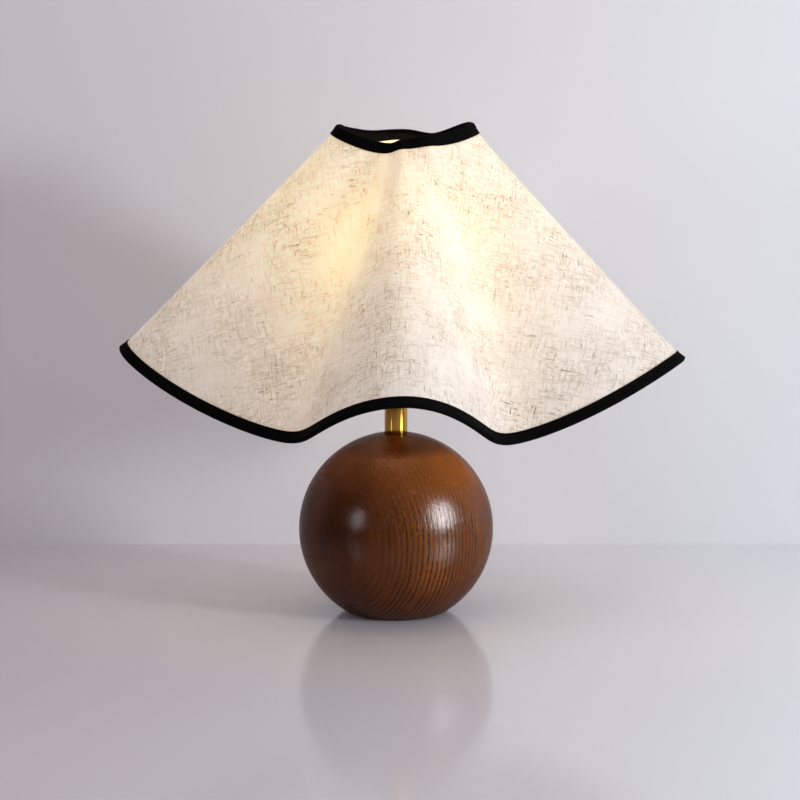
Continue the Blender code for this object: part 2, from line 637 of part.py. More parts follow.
def make_bulb(metal, black, white, opal):
    axis = axis_empty("bulb_axis", (0, 0, BULB_SEAT))
    contact = disc_outline(BULB_CONTACT_RADIUS, 0, BULB_CONTACT_THICKNESS)
    turned("bulb_contact", contact, metal, SMALL_STEPS, parent=axis)
    insulator_bottom = BULB_CONTACT_THICKNESS + GAP
    insulator_top = BULB_CAP_BOTTOM - GAP
    insulator = [(0, insulator_bottom), (BULB_CONTACT_RADIUS, insulator_bottom)]
    insulator += [(BULB_INSULATOR_TOP_RADIUS, insulator_top), (0, insulator_top)]
    turned("bulb_insulator", insulator, black, parent=axis)
    inner = BULB_CAP_RADIUS - BULB_CAP_WALL
    floor = BULB_CAP_BOTTOM + BULB_CAP_WALL
    hole = BULB_CONTACT_RADIUS
    cap = [(hole, BULB_CAP_BOTTOM), (BULB_INSULATOR_TOP_RADIUS, BULB_CAP_BOTTOM)]
    cap += [(BULB_CAP_RADIUS, BULB_CAP_BOTTOM + BULB_CAP_LIP), (BULB_CAP_RADIUS, BULB_CAP_TOP)]
    cap += [(inner, BULB_CAP_TOP), (inner, floor + BULB_CAP_LIP)]
    cap += [(BULB_INSULATOR_TOP_RADIUS - BULB_CAP_WALL, floor), (hole, floor)]
    turned("bulb_cap", cap, metal, parent=axis)
    make_bulb_body(axis, inner - GAP, white)
    make_bulb_globe(axis, opal)
    make_led_board(axis, metal)


def globe_radius(height):
    """Radius of the globe's outside at a height over the bulb's contact."""
    return math.sqrt(BULB_GLOBE_RADIUS**2 - (height - BULB_GLOBE_CENTRE) ** 2)


def make_bulb_body(axis, plug_radius, finish):
    """Tapered housing from the cap to the globe, its neck plugged into the cap."""
    low = Vector((BULB_CAP_RADIUS, BULB_CAP_TOP + GAP))
    high = Vector((globe_radius(BULB_SPLIT_HEIGHT), BULB_SPLIT_HEIGHT))
    leaning = Vector((BULB_GLOBE_CENTRE - high.y, high.x)).normalized()
    reach = (high - low).length / 3
    low_handle = low + Vector((0, reach))
    high_handle = high - leaning * reach
    bends = [step / BULB_BODY_STEPS for step in range(BULB_BODY_STEPS + 1)]
    outer = [bezier(low, low_handle, high_handle, high, share) for share in bends]
    inner = [point - Vector((BULB_WALL, 0)) for point in outer]
    plug_bottom = BULB_CAP_TOP - BULB_PLUG_DEPTH
    outline = [(plug_radius - BULB_WALL, plug_bottom), (plug_radius, plug_bottom)]
    outline += [(plug_radius, low.y)] + [tuple(point) for point in outer]
    outline += [tuple(point) for point in reversed(inner[1:])] + [(plug_radius - BULB_WALL, low.y)]
    turned("bulb_body", outline, finish, parent=axis)


def bezier(start, start_handle, end_handle, end, share):
    rest = 1 - share
    near = start * rest**3 + start_handle * (3 * rest**2 * share)
    return near + end_handle * (3 * rest * share**2) + end * share**3


def make_bulb_globe(axis, finish):
    centre = (0, BULB_GLOBE_CENTRE)
    drop = BULB_SPLIT_DROP - GAP
    inner_radius = BULB_GLOBE_RADIUS - BULB_WALL
    start = -math.asin(drop / BULB_GLOBE_RADIUS)
    inner_start = -math.asin(drop / inner_radius)
    outer = arc(centre, BULB_GLOBE_RADIUS, start, math.pi / 2, GLOBE_ARC_STEPS)
    inner = arc(centre, inner_radius, inner_start, math.pi / 2, GLOBE_ARC_STEPS)
    outline = [(0, inner[-1][1])] + inner[-2::-1] + outer[:-1] + [(0, outer[-1][1])]
    turned("bulb_globe", outline, finish, parent=axis)


def make_led_board(axis, finish):
    board_top = BULB_SPLIT_HEIGHT - BULB_BOARD_DROP
    board_radius = globe_radius(board_top - BULB_BOARD_THICKNESS) - BULB_WALL - 2 * GAP
    board = disc_outline(board_radius, board_top - BULB_BOARD_THICKNESS, board_top)
    turned("bulb_led_board", board, finish, parent=axis)


# Shade


def between_stations(stations, azimuth):
    """Half angle of a rim at an azimuth, swinging smoothly from one station to the next."""
    closed = stations + ((stations[0][0] + 360, stations[0][1]),)
    turn = (azimuth - stations[0][0]) % 360 + stations[0][0]
    for (start, start_angle), (end, end_angle) in zip(closed, closed[1:]):
        if start <= turn <= end:
            share = 0.5 - 0.5 * math.cos(math.pi * (turn - start) / (end - start))
            return start_angle + (end_angle - start_angle) * share
    return stations[0][1]


def rim_point(stations, slant, azimuth):
    """Point on a rim of the shade, in the shade axis's own frame."""
    half_angle = math.radians(between_stations(stations, azimuth))
    heading = math.radians(azimuth)
    out = slant * math.sin(half_angle)
    apex = SHADE_APEX - Vector((0, 0, FITTER_BOTTOM))
    return apex + Vector((out * math.sin(heading), -out * math.cos(heading), -slant * math.cos(half_angle)))


class Ruling:
    """The straight line of the cloth at one azimuth, with the cloth's outward normals at its ends."""

    def __init__(self, azimuth):
        self.azimuth = azimuth
        self.top = rim_point(TOP_STATIONS, SHADE_TOP_SLANT, azimuth)
        self.bottom = rim_point(BOTTOM_STATIONS, SHADE_SLANT, azimuth)
        self.down = (self.bottom - self.top).normalized()
        self.length = (self.bottom - self.top).length
        self.top_normal = self.normal(TOP_STATIONS, SHADE_TOP_SLANT)
        self.bottom_normal = self.normal(BOTTOM_STATIONS, SHADE_SLANT)

    def normal(self, stations, slant):
        step = 180 / SHADE_STEPS
        ahead = rim_point(stations, slant, self.azimuth + step)
        behind = rim_point(stations, slant, self.azimuth - step)
        return self.down.cross(ahead - behind).normalized()

    def at(self, distance, outward):
        """Point this far down from the top rim, and this far out from the cloth's middle."""
        share = distance / self.length
        normal = self.top_normal.lerp(self.bottom_normal, share).normalized()
        return self.top + self.down * distance + normal * outward

    def from_top(self, depth, outward):
        return self.at(depth, outward)

    def from_bottom(self, depth, outward):
        return self.at(self.length - depth, outward)


def wire_seat():
    """How far in from a rim the wire's centre lies, so that it clears the fold of the tape."""
    widening = math.sqrt(1 + TAPE_SHOULDER_SHARE**2)
    return TAPE_THICKNESS + (WIRE_RADIUS + GAP) * widening


def cloth_start():
    return wire_seat() + WIRE_RADIUS + GAP


def tape_half_width():
    return WIRE_RADIUS + 2 * GAP + TAPE_THICKNESS


def tape_section(width):
    """Cross-section of the folded tape, (depth from the rim, distance out from the cloth's middle)."""
    shoulder = WIRE_RADIUS + 2 * GAP
    leg = CLOTH_THICKNESS / 2 + GAP
    bend = shoulder * TAPE_SHOULDER_SHARE
    inner = [(width, leg), (TAPE_THICKNESS + bend, shoulder), (TAPE_THICKNESS, 0)]
    outer = [(width, leg + TAPE_THICKNESS), (bend, tape_half_width()), (0, 0)]
    outer_side = outer + [(depth, -out) for depth, out in reversed(outer[:-1])]
    inner_side = [(depth, -out) for depth, out in inner[:-1]] + list(reversed(inner))
    return outer_side + inner_side


def make_shade(cloth_finish, tape_finish, wire_finish):
    axis = axis_empty("shade_axis", (0, 0, FITTER_BOTTOM))
    rulings = [Ruling(360 * step / SHADE_STEPS) for step in range(SHADE_STEPS)]
    make_cloth(rulings, axis, cloth_finish)
    make_wire("top_wire", [ruling.from_top for ruling in rulings], axis, wire_finish)
    make_wire("bottom_wire", [ruling.from_bottom for ruling in rulings], axis, wire_finish)
    tapes = (("top_tape", "from_top", TOP_TAPE_WIDTH), ("bottom_tape", "from_bottom", TAPE_WIDTH))
    for name, edge, width in tapes:
        section = tape_section(width)
        loops = [[getattr(ruling, edge)(depth, out) for depth, out in section] for ruling in rulings]
        swept(name, loops, tape_finish, parent=axis)
    hole = FITTER_HOLE_RADIUS
    fitter = ring_outline(hole, FITTER_RADIUS, 0, FITTER_THICKNESS)
    turned("fitter_ring", fitter, wire_finish, parent=axis)
    for name, azimuth in ARM_AZIMUTHS.items():
        make_arm(name + "_arm", azimuth, axis, wire_finish)


def make_cloth(rulings, axis, finish):
    half = CLOTH_THICKNESS / 2
    loops = []
    for ruling in rulings:
        run = ruling.length - 2 * cloth_start()
        depths = [cloth_start() + run * row / CLOTH_ROWS for row in range(CLOTH_ROWS + 1)]
        outside = [ruling.at(depth, half) for depth in depths]
        inside = [ruling.at(depth, -half) for depth in reversed(depths)]
        loops.append(outside + inside)
    swept("shade_cloth", loops, finish, parent=axis)


def make_wire(name, places, axis, finish):
    turns = [math.tau * step / WIRE_SIDES for step in range(WIRE_SIDES)]
    section = [(wire_seat() + WIRE_RADIUS * math.cos(turn), WIRE_RADIUS * math.sin(turn)) for turn in turns]
    swept(name, [[at(depth, out) for depth, out in section] for at in places], finish, parent=axis)


def make_arm(name, azimuth, axis, finish):
    """A bowed arm from the fitter ring's edge to the inner side of the top rim, its head beside the tape."""
    heading = math.radians(azimuth)
    outward = Vector((math.sin(heading), -math.cos(heading), 0))
    foot = outward * (FITTER_RADIUS + GAP) + Vector((0, 0, FITTER_THICKNESS / 2))
    ruling = Ruling(azimuth)
    head = ruling.from_top(ARM_HEAD_DEPTH, -(tape_half_width() + ARM_RADIUS))
    foot_handle = foot + outward * ARM_FOOT_REACH
    head_handle = head + ruling.down * ARM_HEAD_REACH
    path = [bezier(foot, foot_handle, head_handle, head, step / ARM_STEPS) for step in range(ARM_STEPS + 1)]
    tube_along(name, path, ARM_RADIUS, finish, parent=axis)


def make_ring_nut(finish):
    axis = axis_empty("ring_nut_axis", (0, 0, RING_NUT_BOTTOM))
    inner = NECK_RADIUS + GAP
    outer = RING_NUT_RADIUS
    top = RING_NUT_HEIGHT
    waist = (inner + outer) / 2
    outline = [(inner, 0), (outer, 0), (outer, RING_NUT_LIP)]
    outline += [(waist, RING_NUT_LIP), (waist, top), (inner, top)]
    ridges = fluted(RING_NUT_RIDGES, RING_NUT_RIDGE_SHARE, outer - GAP)
    turned("ring_nut", outline, finish, 2 * RING_NUT_RIDGES, ridges, parent=axis)


def build():
    clear_scene()
    wood = material("stained_wood", (0.16, 0.055, 0.018), 0.32)
    felt = material("felt", (0.03, 0.03, 0.03), 0.95)
    steel = material("zinc_plated_steel", (0.62, 0.63, 0.65), 0.35, 1.0)
    brass = material("polished_brass", (0.78, 0.57, 0.26), 0.18, 1.0)
    black = material("black_plastic", (0.02, 0.02, 0.02), 0.45)
    white = material("white_plastic", (0.85, 0.85, 0.83), 0.4)
    ceramic = material("white_ceramic", (0.88, 0.87, 0.84), 0.3)
    opal = material("opal_cover", (0.95, 0.93, 0.88), 0.45)
    linen = material("linen_cloth", (0.80, 0.76, 0.72), 0.85)
    tape = material("black_cotton_tape", (0.012, 0.012, 0.012), 0.8)
    painted = material("white_painted_wire", (0.82, 0.82, 0.80), 0.45)
    make_ball(wood)
    make_grommet(black)
    make_base_fastenings(steel, felt)
    make_stem(brass, black)
    make_holder_cap(brass)
    make_grub_screw(steel)
    make_holder_skirt(brass)
    make_insert(ceramic)
    make_screw_shell(brass)
    make_contact_leaf(brass)
    make_rivet(brass)
    make_switch_body(black)
    make_terminal_screws(brass)
    make_switch_knob(make_switch_bushing(brass), steel, black)
    make_bulb(steel, black, white, opal)
    make_shade(linen, tape, painted)
    make_ring_nut(brass)


build()
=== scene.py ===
"""Looks of the table lamp: stained ash ball, brass stem and lampholder, lit bulb, wavy linen shade with taped rims."""

import json
import math

import bmesh
import bpy
from mathutils import Matrix, Vector, geometry


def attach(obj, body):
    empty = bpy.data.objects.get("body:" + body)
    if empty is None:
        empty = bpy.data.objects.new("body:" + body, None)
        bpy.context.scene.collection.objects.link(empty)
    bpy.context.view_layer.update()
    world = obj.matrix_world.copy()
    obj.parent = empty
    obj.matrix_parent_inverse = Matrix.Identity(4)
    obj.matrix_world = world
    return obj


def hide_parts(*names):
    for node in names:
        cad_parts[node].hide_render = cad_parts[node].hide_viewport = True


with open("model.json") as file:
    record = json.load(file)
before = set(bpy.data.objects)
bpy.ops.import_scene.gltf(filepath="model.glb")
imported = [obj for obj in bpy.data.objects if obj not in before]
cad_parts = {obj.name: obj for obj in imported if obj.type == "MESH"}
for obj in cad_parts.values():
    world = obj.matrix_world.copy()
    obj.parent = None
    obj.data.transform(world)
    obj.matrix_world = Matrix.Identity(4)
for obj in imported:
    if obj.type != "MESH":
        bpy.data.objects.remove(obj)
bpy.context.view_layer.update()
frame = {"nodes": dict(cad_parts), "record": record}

# Millimetre, so that sizes below read as on a drawing
MM = 0.001
MERGE = 0.005 * MM
GAP = 0.3 * MM
FINE_STEPS = 96
SHARP_ANGLE = math.radians(38)

# Camera, fitted to the ball, both rims and the table line
CAMERA_PLACE = (0, -2.278, 0.510)
CAMERA_TILT = math.radians(90 - 8.98)
CAMERA_TURN = math.radians(-0.07)
CAMERA_LENS = 148.9

# Ball, felt foot and cord grommet
BALL_RADIUS = 68 * MM
BALL_CENTRE = 59.3155 * MM
BALL_FLAT_RADIUS = 34.3 * MM
BALL_EDGE = 0.8 * MM
WOOD_BOTTOM = 0.6 * MM
ROD_HOLE = 5.3 * MM
STEM_SEAT = 121.3155 * MM
PAD_RADIUS = 30.2 * MM
PAD_THICKNESS = 1.8 * MM
PAD_RECESS = 2.1 * MM
CAVITY_RADIUS = 17 * MM
CAVITY_TOP = 24.6 * MM
CORD_HOLE_RADIUS = 4.6 * MM
CORD_HOLE_HEIGHT = 16.5 * MM
GROMMET_BORE = 3 * MM
GROMMET_LIP_RADIUS = 6.6 * MM
GROMMET_LIP = 1.1 * MM

# Stem
STEM_RADIUS = 8 * MM
STEM_BORE = 7 * MM
STEM_BOTTOM = 121.6155 * MM
STEM_TOP = 160.3155 * MM
BUSH_LENGTH = 8 * MM
BUSH_FLANGE = 1.5 * MM

# Lampholder
CAP_BOTTOM = 162.4155 * MM
CAP_TOP = 190.4155 * MM
COLLAR_RADIUS = 9 * MM
COLLAR_HEIGHT = 5 * MM
CAP_RISE = 6 * MM
HOLDER_RADIUS = 20 * MM
HOLDER_WALL = 1.2 * MM
HOLDER_BORE = HOLDER_RADIUS - HOLDER_WALL
GRUB_RADIUS = 1.5 * MM
GRUB_LENGTH = 3.5 * MM
GRUB_SOCKET_RADIUS = 0.8 * MM
SKIRT_BOTTOM = 190.7155 * MM
SHOULDER_BOTTOM = 197.2155 * MM
SHOULDER_TOP = 199.2155 * MM
SHOULDER_RADIUS = 23.5 * MM
NECK_RADIUS = 19.5 * MM
NECK_TOP = 215.9155 * MM
NECK_THREAD_PITCH = 2 * MM
NECK_THREAD_DEPTH = 0.45 * MM
MOUTH_RADIUS = 15.2 * MM
INSERT_BOTTOM = 183.5155 * MM
INSERT_FLOOR_TOP = 187.9155 * MM
INSERT_TOP = 213.4155 * MM
INSERT_RADIUS = 17.9 * MM
SHELL_RADIUS = 14.2 * MM
SHELL_WALL = 0.7 * MM
SHELL_HEIGHT = 24.5 * MM
SHELL_THREAD_DEPTH = 0.28 * MM

# Switch, on an axis that runs out to the right
SWITCH_AXIS = 178.4655 * MM
SWITCH_RADIUS = 16 * MM
SPINDLE_HOLE = 2.3 * MM
BUSHING_RADIUS = 3.4 * MM
BUSHING_FLAT_RADIUS = 5 * MM
BUSHING_FLANGE = 2 * MM
BUSHING_NOSE = 1.2 * MM
KNOB_RADIUS = 5.5 * MM
KNOB_LENGTH = 12 * MM
KNOB_EDGE = 0.8 * MM
KNOB_ROUNDING = 1.6 * MM
KNOB_FLUTES = 12
KNOB_FLUTE_SHARE = 0.07
SPINDLE_GRIP = 7 * MM

# Bulb, heights over its contact
BULB_SEAT = 190.3155 * MM
BULB_CONTACT_RADIUS = 4.6 * MM
BULB_NECK_RADIUS = 11.2 * MM
BULB_CAP_RADIUS = 13.1 * MM
BULB_CAP_WALL = 0.7 * MM
BULB_CAP_BOTTOM = 5.6 * MM
BULB_CAP_TOP = 25.5 * MM
BULB_CAP_LIP = 1.5 * MM
BULB_PLUG_DEPTH = 10 * MM
BULB_WALL = 1.5 * MM
GLOBE_RADIUS = 30 * MM
GLOBE_CENTRE = 76 * MM
GLOBE_SPLIT = 62 * MM
BULB_THREAD_PITCH = 3.6 * MM
BULB_THREAD_DEPTH = 0.5 * MM

# Painted light of the bulb on the cloth, given to the cloth as its own glow: its height, its strength at the globe,
# and how far it reaches round the cloth's turned-away parts by way of the brightly lit cloth beside them
GLOW_CENTRE = 240 * MM
GLOW_STRENGTH = 2.3
GLOW_WRAP = 0.6

# Ring nut and shade frame
RING_NUT_BOTTOM = 201.8155 * MM
RING_NUT_RADIUS = 24.5 * MM
RING_NUT_HEIGHT = 8 * MM
RING_NUT_LIP = 2 * MM
RING_NUT_RIDGES = 24
RING_NUT_RIDGE_SHARE = 0.02
FITTER_BOTTOM = 199.5155 * MM
FITTER_HOLE = 20 * MM
FITTER_RADIUS = 25 * MM
FITTER_THICKNESS = 2 * MM
ARM_RADIUS = 1.5 * MM
ARM_FOOT_REACH = 30 * MM
ARM_HEAD_REACH = 48 * MM
ARM_HEAD_DEPTH = 5 * MM
ARM_HEAD_INSET = 3.9 * MM
ARM_AZIMUTHS = {"front_arm": 30, "rear_arm": 150, "left_arm": 270}

# Shade: a ruled cloth between two wavy rims about one apex, azimuths from the front towards the right
SHADE_APEX = Vector((5.8 * MM, 0, 396.2155 * MM))
SHADE_TOP_SLANT = 70.9 * MM
SHADE_SLANT = 288.7 * MM
BOTTOM_STATIONS = (
    (0, 39.8), (35, 25.6), (75, 42.7), (128, 25.6), (180, 39.8), (226, 25.6), (270, 43.1), (320, 25.8)
)
TOP_STATIONS = (
    (0, 28.4), (27, 34.2), (107, 40.6), (148, 27.8), (183, 30.9), (208, 30.7), (272, 38.4), (341, 23.0)
)
NORMAL_STEP = 2.5
CLOTH_THICKNESS = 1 * MM
TAPE_WIDTH = 7.9 * MM
TOP_TAPE_WIDTH = 8.4 * MM
TAPE_THICKNESS = 0.6 * MM
WIRE_RADIUS = 1.2 * MM
SHOULDER_SHARE = 0.5

# The folded tape's section: its first bend from the edge, the two bends towards the bead round the wire, measured
# from the wire's centre, how far the first of those stands off, and the bead's points as angles from the rim
TAPE_EDGE_BEND = 1.2 * MM
TAPE_FOOT_BEND = 2.8 * MM
TAPE_MIDDLE_BEND = 1.4 * MM
TAPE_FOOT_RISE = 0.15 * MM
TAPE_BEAD_TURNS = (66, 38, 11)
TAPE_LEG_ROWS = 3

# Where the cloth and each tape lap over their own start: the cloth and the bottom tape at the back, the top tape at
# the left end, where the photo's rim has a small step
CLOTH_SEAM = 180
CLOTH_LAP = 9 * MM
BOTTOM_TAPE_SEAM = 171
TOP_TAPE_SEAM = 262
TAPE_LAP = 8 * MM
LAP_RAMP = 7 * MM
LAP_CLEARANCE = 0.05 * MM
LAP_OVERRUN = 0.5 * MM
LAP_FALL = 2 * MM
SEAM_CROWDING = 0.5
AROUND_STEPS = 360
CLOTH_ROWS = 40
RUNS_PER_DEGREE = 2

# Noises in the ash, stretched along the grain: features to the millimetre across and along it, detail and
# roughness. Drift and wobble of the years, strokes, fibres, clouds, pores, the coat's orange peel.
ASH_NOISES = (
    (0.018, 0.008, 1.0, 0.5),
    (0.11, 0.045, 2.0, 0.5),
    (1.5, 0.15, 1.5, 0.5),
    (0.9, 0.036, 3.0, 0.6),
    (0.026, 0.012, 3.0, 0.5),
    (1.5, 0.33, 1.0, 0.5),
    (1.1, 0.7, 1.0, 0.5),
)

# Marks in the linen: pitch of the threads that carry them and length along the thread, both in millimetres, and
# how thick a place must be to show a little, and in full. Slubs, dashes, thin streaks, fine weave.
LINEN_MARKS = (
    (0.75, 9, 0.72, 0.79),
    (0.70, 4, 0.66, 0.77),
    (0.70, 13, 0.55, 0.72),
    (1.30, 6, 0.44, 0.68),
)
WEFT_SEED = 40

# Step from one thread or year to the next in a noise, wide enough that neighbours have nothing in common
SEPARATE = 7.31

# Studio
STAGE_HALF_WIDTH = 4.0
WALL_BEHIND = 0.235
# Painted shade on the table and the wall: darkest at the left end, lightest at the right end
PAINTED_SHADE_LEFT = -0.35
PAINTED_SHADE_RIGHT = 0.25
LAMPS_AIM = (0, 0, 0.15)


# Nodes and colours


def linear(hex_colour):
    """An sRGB hex colour as the linear colour that a shader takes."""
    parts = [int(hex_colour[at : at + 2], 16) / 255 for at in (0, 2, 4)]
    return [part / 12.92 if part <= 0.04045 else ((part + 0.055) / 1.055) ** 2.4 for part in parts] + [1.0]


def feed(tree, node, inputs):
    """Feeds a node's inputs, by name or number: a socket is linked, a hex colour turned linear, a value set."""
    for name, value in inputs.items():
        if isinstance(value, bpy.types.NodeSocket):
            tree.links.new(value, node.inputs[name])
        else:
            node.inputs[name].default_value = linear(value) if isinstance(value, str) else value


def add(tree, kind, inputs=None, output=0, stops=(), **settings):
    """Adds a node and gives one of its outputs, by name or number. stops are a colour ramp's places and colours."""
    made = tree.nodes.new("ShaderNode" + kind)
    for name, value in settings.items():
        setattr(made, name, value)
    feed(tree, made, inputs or {})
    for place, colour in stops[1:-1]:
        made.color_ramp.elements.new(place).color = linear(colour)
    for end in (0, -1) if stops else ():
        made.color_ramp.elements[end].position = stops[end][0]
        made.color_ramp.elements[end].color = linear(stops[end][1])
    return made.outputs[output]


def new_finish(name):
    """A new material with its tree and its Principled shader."""
    made = bpy.data.materials.new(name)
    made.use_nodes = True
    return made, made.node_tree, made.node_tree.nodes["Principled BSDF"]


# Finishes. The scale of a noise is the number of its features to the millimetre, such as 1.8 / MM.


def stained_ash():
    """Ash, turned, stained dark brown and lacquered. The open pores of each year's early wood take the stain as
    thin broken dark lines, which fade out where the ball is cut flat to them and over its upper half. Painted shade
    darkens the flat-cut sides and the lower part towards the foot; round the stem the end grain is darker, with
    painted shade from the lampholder added there. The satin coat follows the pores, which break up its soft lights."""
    made, tree, shader = new_finish("stained_lacquered_ash")
    place = add(tree, "TexCoord", output="Object")
    height = add(tree, "SeparateXYZ", {"Vector": place}, "Z")
    across = add(tree, "Mapping", {"Vector": place, "Rotation": (0, 0, math.radians(-41))})
    across = add(tree, "SeparateXYZ", {"Vector": across}, "X")
    noises = []
    for wide, tall, detail, roughness in ASH_NOISES:
        scale = (wide / MM, wide / MM, tall / MM)
        stretched = add(tree, "Mapping", {"Vector": place, "Scale": scale})
        stretched = {"Vector": stretched, "Scale": 1.0, "Detail": detail, "Roughness": roughness}
        noises.append(add(tree, "TexNoise", stretched))
    drift, wobble, strokes, fibre, cloudy, pores, peel = noises

    # Years, 3.4 mm apart, that drift over the ball and wobble along each line
    drift = add(tree, "Math", {0: drift, 1: 9 * MM}, operation="MULTIPLY")
    wobble = add(tree, "Math", {0: wobble, 1: 1.5 * MM}, operation="MULTIPLY")
    rings = add(tree, "Math", {0: drift, 1: wobble}, operation="ADD")
    rings = add(tree, "Math", {0: across, 1: rings}, operation="ADD")
    rings = add(tree, "Math", {0: rings, 1: 3.4 * MM}, operation="DIVIDE")

    # Each year takes more or less stain along its 40 mm lengths
    year = add(tree, "Math", {0: rings}, operation="FLOOR")
    year = add(tree, "Math", {0: year, 1: SEPARATE}, operation="MULTIPLY")
    length = add(tree, "Math", {0: height, 1: 40 * MM}, operation="DIVIDE")
    yearly = add(tree, "CombineXYZ", {"X": year, "Y": length})
    yearly = add(tree, "TexNoise", {"Vector": yearly, "Scale": 1.0, "Detail": 1.0})
    yearly = add(tree, "MapRange", {"Value": yearly, "From Min": 0.28, "From Max": 0.6, "To Min": 0.15})

    # The early wood's line in each year, broken into strokes
    line = add(tree, "Math", {0: rings}, operation="FRACT")
    line = add(tree, "Math", {0: line, 1: 0.5}, operation="SUBTRACT")
    line = add(tree, "Math", {0: line}, operation="ABSOLUTE")
    line = add(tree, "MapRange", {"Value": line, "From Min": 0.04, "From Max": 0.26, "To Min": 1.0, "To Max": 0.0})
    line = add(tree, "Math", {0: line, 1: yearly}, operation="MULTIPLY")
    side_cut_and_shade = add(tree, "Math", {0: across}, operation="ABSOLUTE")
    side_cut_and_shade = {"Value": side_cut_and_shade, "From Min": 26 * MM, "From Max": 62 * MM, "To Min": 1.0, "To Max": 0.0}
    side_cut_and_shade = add(tree, "MapRange", side_cut_and_shade)
    upper = {"Value": height, "From Min": 70 * MM, "From Max": 98 * MM, "To Min": 1.0, "To Max": 0.12}
    upper = add(tree, "MapRange", upper)
    line = add(tree, "Math", {0: line, 1: side_cut_and_shade}, operation="MULTIPLY")
    line = add(tree, "Math", {0: line, 1: upper}, operation="MULTIPLY")
    strokes = add(tree, "MapRange", {"Value": strokes, "From Min": 0.42, "From Max": 0.58})
    strokes = add(tree, "MapRange", {"Value": strokes, "To Min": 0.25})
    dark = add(tree, "Math", {0: line, 1: strokes}, operation="MULTIPLY")

    # Tone of the stain: lines, fibres 1 mm apart, clouds 40 mm across; then painted shade on the flat-cut sides,
    # towards the foot, and at the top round the stem, where the end grain is darker too
    tone = add(tree, "Math", {0: dark, 1: 0.60}, operation="MULTIPLY")
    for part, share in ((fibre, 0.26), (cloudy, 0.36)):
        part = add(tree, "Math", {0: part, 1: share}, operation="MULTIPLY")
        tone = add(tree, "Math", {0: tone, 1: part}, operation="ADD")
    # Painted shade: darker on the flat-cut sides, at the top round the stem and towards the foot
    for value, low, high, at_low, at_high in (
        (side_cut_and_shade, 0, 1, 0.26, 0.0),
        (height, 114 * MM, 120 * MM, 0.0, 0.2),
        (height, 8 * MM, 36 * MM, 0.13, 0.0),
    ):
        part = {"Value": value, "From Min": low, "From Max": high, "To Min": at_low, "To Max": at_high}
        tone = add(tree, "Math", {0: tone, 1: add(tree, "MapRange", part)}, operation="ADD")
    stain_and_shade = ((0.24, "8e4f14"), (0.42, "5e2e09"), (0.64, "341604"), (1.0, "160702"))
    stain_and_shade = add(tree, "ValToRGB", {"Fac": tone}, stops=stain_and_shade)

    # Open pores, 0.7 mm apart and 3 mm long, mostly in the lines
    pores = add(tree, "MapRange", {"Value": pores, "From Min": 0.60, "From Max": 0.68})
    in_line = add(tree, "MapRange", {"Value": line, "To Min": 0.35})
    pores = add(tree, "Math", {0: pores, 1: in_line}, operation="MULTIPLY", use_clamp=True)
    filled = add(tree, "Math", {0: pores, 1: 0.75}, operation="MULTIPLY")

    # Relief: fibres stand, lines and pores are sunk, and the coat has an orange peel 1 mm across
    raised = add(tree, "Math", {0: fibre, 1: 0.12}, operation="MULTIPLY")
    sunk = add(tree, "Math", {0: dark, 1: 0.35}, operation="MULTIPLY")
    sunk = add(tree, "Math", {0: sunk, 1: pores}, operation="ADD")
    relief = add(tree, "Math", {0: raised, 1: sunk}, operation="SUBTRACT")
    peel = add(tree, "Math", {0: peel, 1: 0.4}, operation="MULTIPLY")
    coat_relief = add(tree, "Math", {0: relief, 1: peel}, operation="ADD")
    rough = {"Value": tone, "From Min": 0.2, "From Max": 0.9, "To Min": 0.6, "To Max": 0.5}
    looks = {
        "Base Color": add(tree, "Mix", {"Factor": filled, 6: stain_and_shade, 7: "100501"}, 2, data_type="RGBA"),
        "Roughness": add(tree, "MapRange", rough),
        "Normal": add(tree, "Bump", {"Height": relief, "Distance": 0.12 * MM, "Strength": 0.6}),
        "Coat Normal": add(tree, "Bump", {"Height": coat_relief, "Distance": 0.22 * MM, "Strength": 1.0}),
        "Specular IOR Level": 0.0,
        "Coat Weight": 0.46,
        "Coat Roughness": 0.21,
    }
    feed(tree, shader, looks)
    return made


def worked_metal(name, dark, pale, roughness, lines, streak=0.0):
    """Metal with the fine lines of its making: lines gives how many to the millimetre in each direction. The lines
    round a tube draw a light out along its axis, by the streak."""
    made, tree, shader = new_finish(name)
    place = add(tree, "TexCoord", output="Object")
    grain = add(tree, "Mapping", {"Vector": place, "Scale": [number / MM for number in lines]})
    grain = add(tree, "TexNoise", {"Vector": grain, "Scale": 1.0, "Detail": 3.0})
    spots = add(tree, "TexNoise", {"Vector": place, "Scale": 0.09 / MM, "Detail": 3.0})
    fine = add(tree, "Math", {0: grain, 1: 0.6}, operation="MULTIPLY")
    broad = add(tree, "Math", {0: spots, 1: 0.4}, operation="MULTIPLY")
    uneven = add(tree, "Math", {0: fine, 1: broad}, operation="ADD")
    rough = {"Value": uneven, "From Min": 0.3, "From Max": 0.7, "To Min": 0.6 * roughness, "To Max": 1.4 * roughness}
    looks = {
        "Metallic": 1.0,
        "Base Color": add(tree, "ValToRGB", {"Fac": grain}, stops=((0.3, dark), (0.7, pale))),
        "Roughness": add(tree, "MapRange", rough),
        "Normal": add(tree, "Bump", {"Height": grain, "Distance": 0.01 * MM, "Strength": 0.15}),
    }
    if streak:
        looks |= {"Anisotropic": streak, "Anisotropic Rotation": 0.25}
    feed(tree, shader, looks)
    return made


